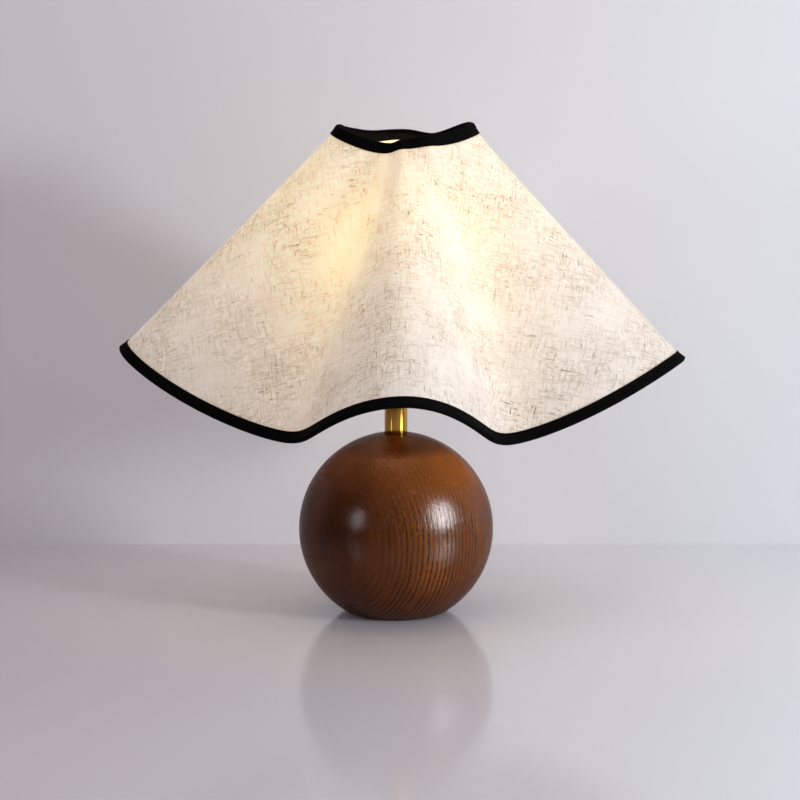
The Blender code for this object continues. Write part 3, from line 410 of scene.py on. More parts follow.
def moulded_plastic(name, dark, pale, roughness):
    """Injection-moulded plastic: a very fine spark-eroded grain and a slightly uneven gloss."""
    made, tree, shader = new_finish(name)
    grain = add(tree, "TexCoord", output="Object")
    grain = add(tree, "TexNoise", {"Vector": grain, "Scale": 1.8 / MM})
    rough = {"Value": grain, "From Min": 0.3, "From Max": 0.7, "To Min": roughness - 0.06, "To Max": roughness + 0.06}
    looks = {
        "Base Color": add(tree, "ValToRGB", {"Fac": grain}, stops=((0.3, dark), (0.7, pale))),
        "Roughness": add(tree, "MapRange", rough),
        "Normal": add(tree, "Bump", {"Height": grain, "Distance": 0.03 * MM, "Strength": 0.4}),
    }
    feed(tree, shader, looks)
    return made


def opal_cover():
    """Blown opal polycarbonate, lit from inside: it glows evenly warm white."""
    made, tree, shader = new_finish("lit_opal_polycarbonate")
    cloudy = add(tree, "TexCoord", output="Object")
    cloudy = add(tree, "TexNoise", {"Vector": cloudy, "Scale": 0.06 / MM})
    looks = {
        "Emission Color": add(tree, "ValToRGB", {"Fac": cloudy}, stops=((0.3, "ffe2bc"), (0.7, "ffe9cb"))),
        "Emission Strength": 9.0,
        "Base Color": "f4f0e6",
        "Roughness": 0.4,
    }
    feed(tree, shader, looks)
    return made


def pressed_felt():
    """Needled wool felt: short tangled fibres, quite matt."""
    made, tree, shader = new_finish("black_wool_felt")
    fibres = add(tree, "TexCoord", output="Object")
    fibres = add(tree, "TexNoise", {"Vector": fibres, "Scale": 0.9 / MM, "Detail": 4.0, "Roughness": 0.7})
    looks = {
        "Base Color": add(tree, "ValToRGB", {"Fac": fibres}, stops=((0.3, "101010"), (0.7, "2c2b2a"))),
        "Normal": add(tree, "Bump", {"Height": fibres, "Distance": 0.4 * MM, "Strength": 0.8}),
        "Roughness": 0.95,
        "Sheen Weight": 0.2,
    }
    feed(tree, shader, looks)
    return made


def powder_coat():
    """Steel wire with white powder coat: a fine orange peel."""
    made, tree, shader = new_finish("white_powder_coat")
    peel = add(tree, "TexCoord", output="Object")
    peel = add(tree, "TexNoise", {"Vector": peel, "Scale": 0.7 / MM})
    looks = {
        "Base Color": add(tree, "ValToRGB", {"Fac": peel}, stops=((0.3, "d8d6d1"), (0.7, "e4e2dd"))),
        "Normal": add(tree, "Bump", {"Height": peel, "Distance": 0.06 * MM, "Strength": 0.5}),
        "Roughness": 0.45,
    }
    feed(tree, shader, looks)
    return made


def threads(tree, place, pitch, length, seed, low, high):
    """Thick places on single threads. They run along the second coordinate, a pitch apart."""
    number = add(tree, "SeparateXYZ", {"Vector": place}, "X")
    number = add(tree, "Math", {0: number, 1: pitch}, operation="DIVIDE")
    number = add(tree, "Math", {0: number}, operation="FLOOR")
    number = add(tree, "Math", {0: number, 1: SEPARATE}, operation="MULTIPLY")
    run = add(tree, "SeparateXYZ", {"Vector": place}, "Y")
    run = add(tree, "Math", {0: run, 1: length}, operation="DIVIDE")
    spot = add(tree, "CombineXYZ", {"X": number, "Y": run, "Z": seed})
    spot = add(tree, "TexNoise", {"Vector": spot, "Scale": 1.0, "Detail": 1.0})
    return add(tree, "MapRange", {"Value": spot, "From Min": low, "From Max": high})


def slub_linen():
    """Off-white plain-weave linen with brown slubs in both threads, and painted light: it glows where the bulb is
    close behind it. The threads lie 0.5 mm apart, and are drawn 0.7 to 1.3 mm apart so that they show."""
    made, tree, shader = new_finish("slub_linen")

    # Both threads wander by up to 4 mm from straight
    flat = add(tree, "UVMap", uv_map="flat")
    wander = add(tree, "TexNoise", {"Vector": flat, "Scale": 0.024 / MM}, "Color")
    wander = add(tree, "VectorMath", {0: wander, 1: (0.5, 0.5, 0.5)}, operation="SUBTRACT")
    warp = add(tree, "VectorMath", {0: wander, 1: (8 * MM, 8 * MM, 0), 2: flat}, operation="MULTIPLY_ADD")
    weft = add(tree, "Mapping", {"Vector": warp, "Rotation": (0, 0, math.radians(90))})

    # Marks from slubs down to the fine weave, crowded in places 40 mm across
    crowd = add(tree, "TexNoise", {"Vector": warp, "Scale": 0.026 / MM, "Detail": 3.0})
    crowd = add(tree, "MapRange", {"Value": crowd, "From Min": 0.34, "From Max": 0.62, "To Min": 0.30})
    layers = []
    for pitch, length, low, high in LINEN_MARKS:
        ways = {
            number: threads(tree, way, pitch * MM, length * MM, seed + pitch + length, low, high)
            for number, way, seed in ((0, warp, 0), (1, weft, WEFT_SEED))
        }
        both = add(tree, "Math", ways, operation="MAXIMUM")
        layers.append(add(tree, "Math", {0: both, 1: crowd}, operation="MULTIPLY"))
    slub, dash, thin, fine = layers

    cloth = add(tree, "TexNoise", {"Vector": warp, "Scale": 0.045 / MM})
    cloth = add(tree, "ValToRGB", {"Fac": cloth}, stops=((0.3, "d9d3d3"), (0.7, "e4dfdf")))
    for layer, share, colour in (
        (fine, 0.36, "a8997f"),
        (thin, 0.50, "917d60"),
        (dash, 0.62, "72593c"),
        (slub, 0.85, "533a22"),
    ):
        share = add(tree, "Math", {0: layer, 1: share}, operation="MULTIPLY")
        cloth = add(tree, "Mix", {"Factor": share, 6: cloth, 7: colour}, 2, data_type="RGBA")
    raised = add(tree, "Math", {0: slub, 1: 2.0}, operation="MULTIPLY")
    height = add(tree, "Math", {0: fine, 1: thin}, operation="ADD")
    height = add(tree, "Math", {0: height, 1: raised}, operation="ADD")

    # Painted light: the bulb's light that comes through the cloth, given as its glow, less where a mark is
    light = add(tree, "Attribute", output="Fac", attribute_name="bulb_light")
    glow = add(tree, "ValToRGB", {"Fac": light}, stops=((0.0, "181012"), (0.35, "736040"), (1.0, "b89e5e")))
    passed = add(tree, "Math", {0: fine, 1: 0.14}, operation="MULTIPLY")
    passed = add(tree, "Math", {0: 1.0, 1: passed}, operation="SUBTRACT")
    for layer, share in ((thin, 0.20), (dash, 0.28), (slub, 0.42)):
        held = add(tree, "Math", {0: layer, 1: share}, operation="MULTIPLY")
        passed = add(tree, "Math", {0: passed, 1: held}, operation="SUBTRACT", use_clamp=True)
    glow = {"Factor": 1.0, 6: glow, 7: passed}
    looks = {
        "Base Color": cloth,
        "Normal": add(tree, "Bump", {"Height": height, "Distance": 0.10 * MM, "Strength": 0.5}),
        "Emission Color": add(tree, "Mix", glow, 2, data_type="RGBA", blend_type="MULTIPLY"),
        "Emission Strength": 1.5,
        "Roughness": 0.9,
        "Specular IOR Level": 0.02,
    }
    feed(tree, shader, looks)
    return made


def backing_film():
    """Laminated backing inside the shade: smooth, matt off-white film, with the weave pressed through."""
    made, tree, shader = new_finish("shade_backing_film")
    weave = threads(tree, add(tree, "UVMap", uv_map="flat"), 1.2 * MM, 4 * MM, 4.1, 0.4, 0.7)
    looks = {
        "Base Color": add(tree, "ValToRGB", {"Fac": weave}, stops=((0.0, "ece4d8"), (1.0, "e0d6c8"))),
        "Normal": add(tree, "Bump", {"Height": weave, "Distance": 0.05 * MM, "Strength": 0.4}),
        "Roughness": 0.6,
    }
    feed(tree, shader, looks)
    return made


def cotton_tape():
    """Black cotton tape, folded and glued: ribs across the tape 0.9 mm apart, nearly no gloss."""
    made, tree, shader = new_finish("black_cotton_tape")
    flat = add(tree, "UVMap", uv_map="flat")
    ribs = add(tree, "Mapping", {"Vector": flat, "Scale": (1.1 / MM, 0.17 / MM, 1)})
    ribs = add(tree, "TexNoise", {"Vector": ribs, "Scale": 1.0})
    cloudy = add(tree, "TexNoise", {"Vector": flat, "Scale": 0.12 / MM})
    fine = add(tree, "Math", {0: ribs, 1: 0.6}, operation="MULTIPLY")
    broad = add(tree, "Math", {0: cloudy, 1: 0.4}, operation="MULTIPLY")
    tone = add(tree, "Math", {0: fine, 1: broad}, operation="ADD")
    looks = {
        "Base Color": add(tree, "ValToRGB", {"Fac": tone}, stops=((0.3, "040404"), (0.7, "0b0a0a"))),
        "Normal": add(tree, "Bump", {"Height": ribs, "Distance": 0.12 * MM, "Strength": 0.5}),
        "Roughness": 0.85,
        "Specular IOR Level": 0.02,
    }
    feed(tree, shader, looks)
    return made


# Making pieces


def piece(name, bm, finishes, body, slot, *nodes):
    """Makes a finished bmesh the piece that stands for some nodes of the frame."""
    mesh = bpy.data.meshes.new(name)
    bm.to_mesh(mesh)
    bm.free()
    mesh.shade_smooth()
    mesh.set_sharp_from_angle(angle=SHARP_ANGLE)
    for finish in finishes:
        mesh.materials.append(finish)
    made = bpy.data.objects.new(name, mesh)
    bpy.context.scene.collection.objects.link(made)
    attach(made, body)
    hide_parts(*nodes)
    return made


def settle(made):
    """Applies a piece's modifiers."""
    shaped = bpy.data.meshes.new_from_object(made.evaluated_get(bpy.context.evaluated_depsgraph_get()))
    made.modifiers.clear()
    made.data = shaped


def arc(centre, radius, start, end, steps):
    """(radius, height) points on a circle in the turning plane, angles up from level."""
    turns = [start + (end - start) * step / steps for step in range(steps + 1)]
    return [(centre[0] + radius * math.cos(turn), centre[1] + radius * math.sin(turn)) for turn in turns]


def wall(radius, low, high, spacing):
    """Points up or down a straight wall, close enough for a thread or a flute."""
    steps = max(1, round(abs(high - low) / spacing))
    return [(radius, low + (high - low) * step / steps) for step in range(steps + 1)]


def turned(outline, steps, edge, shape=None, pose=None):
    """Spins (radius, height) points about Z, reshapes by shape(radius, angle, height), rounds the sharp edges."""
    bm = bmesh.new()
    points = [bm.verts.new((radius, 0, height)) for radius, height in outline]
    pairs = list(zip(points, points[1:]))
    if outline[0][0] > 0:
        pairs.append((points[-1], points[0]))
    edges = [bm.edges.new(pair) for pair in pairs]
    bmesh.ops.spin(
        bm, geom=points + edges, axis=(0, 0, 1), cent=(0, 0, 0), angle=math.tau, steps=steps, use_merge=True
    )
    bmesh.ops.remove_doubles(bm, verts=bm.verts, dist=MERGE)
    bmesh.ops.dissolve_degenerate(bm, edges=bm.edges, dist=MERGE)
    for vert in bm.verts if shape else ():
        radius = math.hypot(vert.co.x, vert.co.y)
        if radius > MERGE:
            vert.co.xy *= shape(radius, math.atan2(vert.co.y, vert.co.x), vert.co.z) / radius
    bmesh.ops.recalc_face_normals(bm, faces=bm.faces)
    sharp = [side for side in bm.edges if len(side.link_faces) == 2 and side.calc_face_angle(0) > SHARP_ANGLE]
    if edge and sharp:
        bmesh.ops.bevel(
            bm, geom=sharp, offset=edge, segments=2, profile=0.5, affect="EDGES", clamp_overlap=True, material=-1
        )
    if pose:
        bmesh.ops.transform(bm, matrix=pose, verts=bm.verts)
    return bm


def facing(direction, place):
    """Pose that turns Z to a direction and moves the origin to a place."""
    turn = Vector((0, 0, 1)).rotation_difference(Vector(direction)).to_matrix().to_4x4()
    return Matrix.Translation(place) @ turn


def drilled(made, radius, reach, pose):
    """Cuts a round hole through one side of a piece, along the pose's Z, from and to the distances in reach."""
    drill = bmesh.new()
    bmesh.ops.create_cone(drill, cap_ends=True, segments=48, radius1=radius, radius2=radius, depth=reach[1] - reach[0])
    bmesh.ops.translate(drill, verts=drill.verts, vec=(0, 0, sum(reach) / 2))
    bmesh.ops.transform(drill, matrix=pose, verts=drill.verts)
    mesh = bpy.data.meshes.new("drill")
    drill.to_mesh(mesh)
    drill.free()
    bit = bpy.data.objects.new("drill", mesh)
    bpy.context.scene.collection.objects.link(bit)
    cut = made.modifiers.new("hole", "BOOLEAN")
    cut.object, cut.operation, cut.solver = bit, "DIFFERENCE", "EXACT"
    settle(made)
    bpy.data.objects.remove(bit)


def hexagon(flat_radius):
    """Shape for turned(): radii from flat_radius out lie on a hexagon with this distance to its flats."""
    sixth = math.tau / 6

    def shape(radius, angle, height):
        if radius < flat_radius - MERGE:
            return radius
        return radius / math.cos(angle % sixth - sixth / 2)

    return shape


def threaded(pitch, depth, low, high, from_radius):
    """Shape for turned(): a round screw thread on walls from a radius out, between two heights."""

    def shape(radius, angle, height):
        if radius < from_radius - MERGE or not low < height < high:
            return radius
        wave = 0.5 - 0.5 * math.cos(math.tau * height / pitch - angle)
        return radius - depth * wave * min(1, (height - low) / pitch, (high - height) / pitch)

    return shape


def fluted(count, share, from_radius, low, high, fade):
    """Shape for turned(): flutes that run out over a length before each end."""

    def shape(radius, angle, height):
        if radius < from_radius:
            return radius
        depth = min(1, max(0, (height - low) / fade), max(0, (high - height) / fade))
        return radius * (1 - share * depth * (0.5 - 0.5 * math.cos(count * angle)))

    return shape


# Base


def make_ball(wood):
    stem_hole = STEM_RADIUS + GAP
    lowest = -math.asin((BALL_CENTRE - WOOD_BOTTOM - BALL_EDGE) / BALL_RADIUS)
    highest = math.acos(stem_hole / BALL_RADIUS)
    outline = [(ROD_HOLE, STEM_SEAT), (stem_hole, STEM_SEAT)]
    outline += arc((0, BALL_CENTRE), BALL_RADIUS, highest, lowest, 80)
    outline += [(BALL_FLAT_RADIUS - BALL_EDGE, WOOD_BOTTOM), (PAD_RADIUS + GAP, WOOD_BOTTOM)]
    outline += [(PAD_RADIUS + GAP, PAD_RECESS), (CAVITY_RADIUS, PAD_RECESS)]
    outline += [(CAVITY_RADIUS, CAVITY_TOP), (ROD_HOLE, CAVITY_TOP)]
    ball = piece("turned_ball", turned(outline, 192, 0.3 * MM), [wood], "base", "stained_wood", "ball_base")
    cord_way = facing((0, 1, 0), (0, 0, CORD_HOLE_HEIGHT))
    drilled(ball, CORD_HOLE_RADIUS, (CAVITY_RADIUS / 2, BALL_RADIUS), cord_way)


def make_grommet(plastic):
    """Grommet in the cord hole. Its lip lies on the ball, so its points are moved out to the ball's surface."""
    rounding = GROMMET_LIP / 2
    lip = [(CORD_HOLE_RADIUS - GAP, GAP), (GROMMET_LIP_RADIUS, GAP)]
    lip += arc((GROMMET_LIP_RADIUS - rounding, GAP + rounding), rounding, 0, math.pi / 2, 4)
    lip += arc((GROMMET_BORE + rounding, GAP + rounding), rounding, math.pi / 2, math.pi, 4)
    inner_end = -1
    outline = [(GROMMET_BORE, inner_end), (CORD_HOLE_RADIUS - GAP, inner_end)] + lip
    bm = turned(outline, 64, 0.0)
    for vert in bm.verts:
        if vert.co.z < inner_end / 2:
            vert.co.z = CAVITY_RADIUS + GAP
        else:
            beside_centre = Vector((vert.co.x, vert.co.y + CORD_HOLE_HEIGHT - BALL_CENTRE))
            vert.co.z += math.sqrt(BALL_RADIUS**2 - beside_centre.length_squared)
    # What was the height over the hole becomes the distance behind the axis
    upright = Matrix(((1, 0, 0, 0), (0, 0, 1, 0), (0, 1, 0, CORD_HOLE_HEIGHT), (0, 0, 0, 1)))
    bmesh.ops.transform(bm, matrix=upright, verts=bm.verts)
    bmesh.ops.recalc_face_normals(bm, faces=bm.faces)
    piece("rear_grommet", bm, [plastic], "base", "black_plastic", "cord_grommet")


def make_stem(brass, plastic, felt):
    foot = [(0, 0), (PAD_RADIUS, 0), (PAD_RADIUS, PAD_THICKNESS), (0, PAD_THICKNESS)]
    piece("felt_disc", turned(foot, 128, 0.5 * MM), [felt], "base", "felt", "felt_foot")
    tube = [(STEM_BORE, STEM_BOTTOM), (STEM_RADIUS, STEM_BOTTOM), (STEM_RADIUS, STEM_TOP), (STEM_BORE, STEM_TOP)]
    piece("brass_stem", turned(tube, 128, 0.42 * MM), [brass], "base", "brass", "stem_tube")
    low = STEM_TOP - BUSH_LENGTH
    plug = STEM_BORE - GAP
    top = STEM_TOP + GAP
    bush = [(ROD_HOLE, low), (plug, low), (plug, top), (STEM_RADIUS, top)]
    bush += [(STEM_RADIUS, top + BUSH_FLANGE), (ROD_HOLE, top + BUSH_FLANGE)]
    piece("stem_washer", turned(bush, FINE_STEPS, 0.2 * MM), [plastic], "base", "black_plastic", "stem_upper_bush")


# Lampholder and switch


def make_holder(brass, ceramic, steel):
    turns = [math.pi / 2 * step / 14 for step in range(15)]
    bends = []
    for edge, lift in ((HOLDER_RADIUS, 0), (HOLDER_BORE, HOLDER_WALL)):
        across, foot = edge - COLLAR_RADIUS, CAP_BOTTOM + COLLAR_HEIGHT + lift
        bends.append(
            [(COLLAR_RADIUS + across * math.sin(turn), foot + CAP_RISE * (1 - math.cos(turn))) for turn in turns]
        )
    outline = [(ROD_HOLE, CAP_BOTTOM), (COLLAR_RADIUS, CAP_BOTTOM)] + bends[0]
    outline += [(HOLDER_RADIUS, CAP_TOP), (HOLDER_BORE, CAP_TOP)] + bends[1][::-1]
    outline += [(ROD_HOLE, CAP_BOTTOM + COLLAR_HEIGHT + HOLDER_WALL)]
    cap = piece("brass_cap", turned(outline, 128, 0.3 * MM), [brass], "base", "brass", "holder_cap")
    grub_way = facing((0, 1, 0), (0, 0, CAP_BOTTOM + COLLAR_HEIGHT / 2))
    drilled(cap, GRUB_RADIUS + GAP, (ROD_HOLE / 2, HOLDER_RADIUS / 2), grub_way)
    drilled(cap, BUSHING_RADIUS + GAP, (SWITCH_RADIUS, HOLDER_RADIUS + 1 * MM), facing((1, 0, 0), (0, 0, SWITCH_AXIS)))

    grub = [(0, 0), (GRUB_RADIUS, 0), (GRUB_RADIUS, GRUB_LENGTH), (GRUB_SOCKET_RADIUS, GRUB_LENGTH)]
    grub += [(GRUB_SOCKET_RADIUS, GRUB_LENGTH / 2), (0, GRUB_LENGTH / 2)]
    pose = facing((0, 1, 0), (0, ROD_HOLE, CAP_BOTTOM + COLLAR_HEIGHT / 2))
    bm = turned(grub, 48, 0.15 * MM, pose=pose)
    piece("cap_grub_screw", bm, [steel], "base", "zinc_steel", "grub_screw")

    inner_neck = NECK_RADIUS - HOLDER_WALL
    thread_low = SHOULDER_TOP + 1 * MM
    outline = [(HOLDER_BORE, SKIRT_BOTTOM), (HOLDER_RADIUS, SKIRT_BOTTOM), (HOLDER_RADIUS, SHOULDER_BOTTOM)]
    outline += [(SHOULDER_RADIUS, SHOULDER_BOTTOM), (SHOULDER_RADIUS, SHOULDER_TOP)]
    outline += wall(NECK_RADIUS, SHOULDER_TOP, NECK_TOP, 0.25 * MM)
    outline += [(MOUTH_RADIUS, NECK_TOP), (MOUTH_RADIUS, NECK_TOP - HOLDER_WALL)]
    outline += [(inner_neck, NECK_TOP - HOLDER_WALL), (inner_neck, SHOULDER_TOP), (HOLDER_BORE, SHOULDER_BOTTOM)]
    screw = threaded(NECK_THREAD_PITCH, NECK_THREAD_DEPTH, thread_low, NECK_TOP - 0.4 * MM, NECK_RADIUS)
    bm = turned(outline, FINE_STEPS, 0.3 * MM, screw)
    piece("brass_skirt", bm, [brass], "base", "brass", "holder_skirt")

    inner = SHELL_RADIUS + GAP
    outline = [(0, INSERT_BOTTOM), (INSERT_RADIUS, INSERT_BOTTOM), (INSERT_RADIUS, INSERT_TOP), (inner, INSERT_TOP)]
    outline += [(inner, INSERT_FLOOR_TOP), (0, INSERT_FLOOR_TOP)]
    piece("ceramic_insert", turned(outline, FINE_STEPS, 0.3 * MM), [ceramic], "base", "ceramic", "holder_insert")

    low = INSERT_FLOOR_TOP + GAP
    outline = wall(SHELL_RADIUS, low, low + SHELL_HEIGHT, 0.35 * MM)
    outline += wall(SHELL_RADIUS - SHELL_WALL, low + SHELL_HEIGHT, low, 0.35 * MM)
    screw = threaded(BULB_THREAD_PITCH, SHELL_THREAD_DEPTH, low, low + SHELL_HEIGHT, SHELL_RADIUS - SHELL_WALL)
    piece("threaded_shell", turned(outline, FINE_STEPS, 0.1 * MM, screw), [brass], "base", "brass", "screw_shell")


def make_switch(brass, plastic):
    along = facing((1, 0, 0), (0, 0, SWITCH_AXIS))
    seat = HOLDER_RADIUS + GAP
    top = seat + BUSHING_FLANGE
    nose = top + BUSHING_NOSE
    outline = [(SPINDLE_HOLE, SWITCH_RADIUS + GAP), (BUSHING_RADIUS, SWITCH_RADIUS + GAP), (BUSHING_RADIUS, seat)]
    outline += [(BUSHING_FLAT_RADIUS, seat), (BUSHING_FLAT_RADIUS, top), (BUSHING_RADIUS, top)]
    outline += [(BUSHING_RADIUS, nose), (SPINDLE_HOLE, nose)]
    flats = hexagon(BUSHING_FLAT_RADIUS)
    piece("hexagon_bushing", turned(outline, 48, 0.2 * MM, flats, along), [brass], "base", "brass", "switch_bushing")

    start = nose + GAP
    end = start + KNOB_LENGTH
    crown = end - KNOB_ROUNDING
    outline = [(0, start + SPINDLE_GRIP + GAP), (SPINDLE_HOLE, start + SPINDLE_GRIP + GAP), (SPINDLE_HOLE, start)]
    outline += [(KNOB_RADIUS - KNOB_EDGE, start)] + wall(KNOB_RADIUS, start + KNOB_EDGE, crown, 0.8 * MM)
    outline += arc((KNOB_RADIUS - KNOB_ROUNDING, crown), KNOB_ROUNDING, 0, math.pi / 2, 6)[1:]
    outline += [(0, end)]
    fluted_from = (SPINDLE_HOLE + KNOB_RADIUS) / 2
    grip = fluted(KNOB_FLUTES, KNOB_FLUTE_SHARE, fluted_from, start + KNOB_EDGE, crown, 1.2 * MM)
    bm = turned(outline, 16 * KNOB_FLUTES, 0.2 * MM, grip, along)
    piece("fluted_knob", bm, [plastic], "switch", "black_plastic", "switch_knob")


# Bulb


def globe_radius(height):
    return math.sqrt(GLOBE_RADIUS**2 - (height - GLOBE_CENTRE) ** 2)


def make_bulb(metal, white, opal):
    seat = Matrix.Translation((0, 0, BULB_SEAT))
    inner = BULB_CAP_RADIUS - BULB_CAP_WALL
    floor = BULB_CAP_BOTTOM + BULB_CAP_WALL
    outline = [(BULB_CONTACT_RADIUS, BULB_CAP_BOTTOM), (BULB_NECK_RADIUS, BULB_CAP_BOTTOM)]
    outline += wall(BULB_CAP_RADIUS, BULB_CAP_BOTTOM + BULB_CAP_LIP, BULB_CAP_TOP, 0.3 * MM)
    outline += [(inner, BULB_CAP_TOP), (inner, floor + BULB_CAP_LIP)]
    outline += [(BULB_NECK_RADIUS - BULB_CAP_WALL, floor), (BULB_CONTACT_RADIUS, floor)]
    screw = threaded(BULB_THREAD_PITCH, BULB_THREAD_DEPTH, floor, BULB_CAP_TOP - 1.5 * MM, BULB_CAP_RADIUS)
    bm = turned(outline, FINE_STEPS, 0.15 * MM, screw, seat)
    piece("bulb_screw_cap", bm, [metal], "bulb", "aluminium", "bulb_cap")

    plug = inner - GAP
    low = Vector((BULB_CAP_RADIUS, BULB_CAP_TOP + GAP, 0))
    high = Vector((globe_radius(GLOBE_SPLIT), GLOBE_SPLIT, 0))
    leaning = Vector((GLOBE_CENTRE - high.y, high.x, 0)).normalized()
    reach = (high - low).length / 3
    outer = geometry.interpolate_bezier(low, low + Vector((0, reach, 0)), high - leaning * reach, high, 20)
    outline = [(plug - BULB_WALL, BULB_CAP_TOP - BULB_PLUG_DEPTH), (plug, BULB_CAP_TOP - BULB_PLUG_DEPTH)]
    outline += [(plug, low.y)] + [(point.x, point.y) for point in outer]
    outline += [(point.x - BULB_WALL, point.y) for point in reversed(outer[1:])] + [(plug - BULB_WALL, low.y)]
    bm = turned(outline, FINE_STEPS, 0.2 * MM, None, seat)
    piece("bulb_housing", bm, [white], "bulb", "white_plastic", "bulb_body")

    drop = GLOBE_CENTRE - GLOBE_SPLIT - GAP
    shells = []
    for radius in (GLOBE_RADIUS, GLOBE_RADIUS - BULB_WALL):
        shells.append(arc((0, GLOBE_CENTRE), radius, -math.asin(drop / radius), math.pi / 2, 40)[:-1])
    outline = [(0, GLOBE_CENTRE + GLOBE_RADIUS - BULB_WALL)] + shells[1][::-1] + shells[0]
    outline += [(0, GLOBE_CENTRE + GLOBE_RADIUS)]
    bm = turned(outline, FINE_STEPS, 0.2 * MM, None, seat)
    piece("opal_globe", bm, [opal], "bulb", "opal_plastic", "bulb_globe")


# Shade


def between_stations(stations, azimuth):
    """Half angle of a rim at an azimuth, swinging smoothly from one station to the next."""
    closed = stations + ((stations[0][0] + 360, stations[0][1]),)
    turn = (azimuth - stations[0][0]) % 360 + stations[0][0]
    (start, start_angle), (end, end_angle) = next(pair for pair in zip(closed, closed[1:]) if turn <= pair[1][0])
    share = 0.5 - 0.5 * math.cos(math.pi * (turn - start) / (end - start))
    return start_angle + (end_angle - start_angle) * share


def rim_point(stations, slant, azimuth):
    half_angle = math.radians(between_stations(stations, azimuth))
    heading = math.radians(azimuth)
    out = slant * math.sin(half_angle)
    return SHADE_APEX + Vector((out * math.sin(heading), -out * math.cos(heading), -slant * math.cos(half_angle)))


class Ruling:
    """The straight line of the cloth at one azimuth, with the cloth's outward normals at its ends."""

    def __init__(self, azimuth):
        self.top = rim_point(TOP_STATIONS, SHADE_TOP_SLANT, azimuth)
        self.bottom = rim_point(BOTTOM_STATIONS, SHADE_SLANT, azimuth)
        self.length = (self.bottom - self.top).length
        self.down = (self.bottom - self.top).normalized()
        ends = ((TOP_STATIONS, SHADE_TOP_SLANT), (BOTTOM_STATIONS, SHADE_SLANT))
        self.top_normal, self.bottom_normal = (
            self.down.cross(
                rim_point(stations, slant, azimuth + NORMAL_STEP) - rim_point(stations, slant, azimuth - NORMAL_STEP)
            ).normalized()
            for stations, slant in ends
        )

    def normal(self, distance):
        return self.top_normal.lerp(self.bottom_normal, distance / self.length).normalized()

    def at(self, distance, outward=0.0):
        """Point this far down from the top rim, and this far out from the cloth's middle."""
        return self.top + self.down * distance + self.normal(distance) * outward


class Lap:
    """A strip once round the shade that ends over its own start, at its seam."""

    def __init__(self, seam, width, rise):
        self.seam, self.width, self.rise = seam, width, rise

    def degrees(self, width, reach):
        """Azimuth that a width takes up near the seam, this far from the apex."""
        here, there = (rim_point(BOTTOM_STATIONS, SHADE_SLANT, self.seam + turn) for turn in (-0.5, 0.5))
        return width / (reach * (there - here).length / SHADE_SLANT)

    def azimuth(self, share, reach):
        """Azimuth after a share of the way round. The steps are closer together near the seam."""
        half = self.degrees(self.width / 2, reach)
        eased = share - SEAM_CROWDING / math.tau * math.sin(math.tau * share)
        return self.seam - half + (360 + 2 * half) * eased

    def lift(self, azimuth, reach):
        """How far the strip stands off so as to pass over its own start."""
        ramp = self.degrees(LAP_RAMP, reach)
        over = self.seam + 360 - self.degrees(self.width / 2, reach)
        share = min(1, max(0, (azimuth - over + ramp) / ramp))
        return self.rise * share * share * (3 - 2 * share)


def rim_runs(stations, slant):
    """Length along a rim from the back, at each step of azimuth."""
    steps = range(360 * RUNS_PER_DEGREE + 1)
    points = [rim_point(stations, slant, CLOTH_SEAM + step / RUNS_PER_DEGREE) for step in steps]
    runs = [0.0]
    for here, there in zip(points, points[1:]):
        runs.append(runs[-1] + (there - here).length)
    return runs


def run_at(runs, azimuth):
    """Length along a rim from the back to an azimuth, past one turn too."""
    turns, part = divmod((azimuth - CLOTH_SEAM) * RUNS_PER_DEGREE, 360 * RUNS_PER_DEGREE)
    low = int(part)
    return turns * runs[-1] + runs[low] + (runs[low + 1] - runs[low]) * (part - low)


def strip_round(rows, place, flat, light=None):
    """A strip round the shade. place, flat and light take a share of the way round and a share down."""
    bm = bmesh.new()
    bmesh.ops.create_grid(bm, x_segments=AROUND_STEPS, y_segments=rows, size=0.5)
    uv = bm.loops.layers.uv.new("flat")
    glow = bm.verts.layers.float.new("bulb_light") if light else None
    for vert in bm.verts:
        spot = (vert.co.x + 0.5, 0.5 - vert.co.y)
        for corner in vert.link_loops:
            corner[uv].uv = flat(*spot)
        if light:
            vert[glow] = light(*spot)
        vert.co = place(*spot)
    bmesh.ops.recalc_face_normals(bm, faces=bm.faces)
    return bm


def wire_seat():
    """How far in from a rim the wire's centre lies, so that it clears the fold of the tape."""
    return TAPE_THICKNESS + (WIRE_RADIUS + GAP) * math.sqrt(1 + SHOULDER_SHARE**2)


def thickened(made, thickness, inner_finish=0):
    solid = made.modifiers.new("thickness", "SOLIDIFY")
    solid.thickness, solid.offset, solid.use_even_offset = thickness, 0, True
    solid.material_offset = inner_finish
    settle(made)


def cloth_reach(share):
    return SHADE_TOP_SLANT + (SHADE_SLANT - SHADE_TOP_SLANT) * share


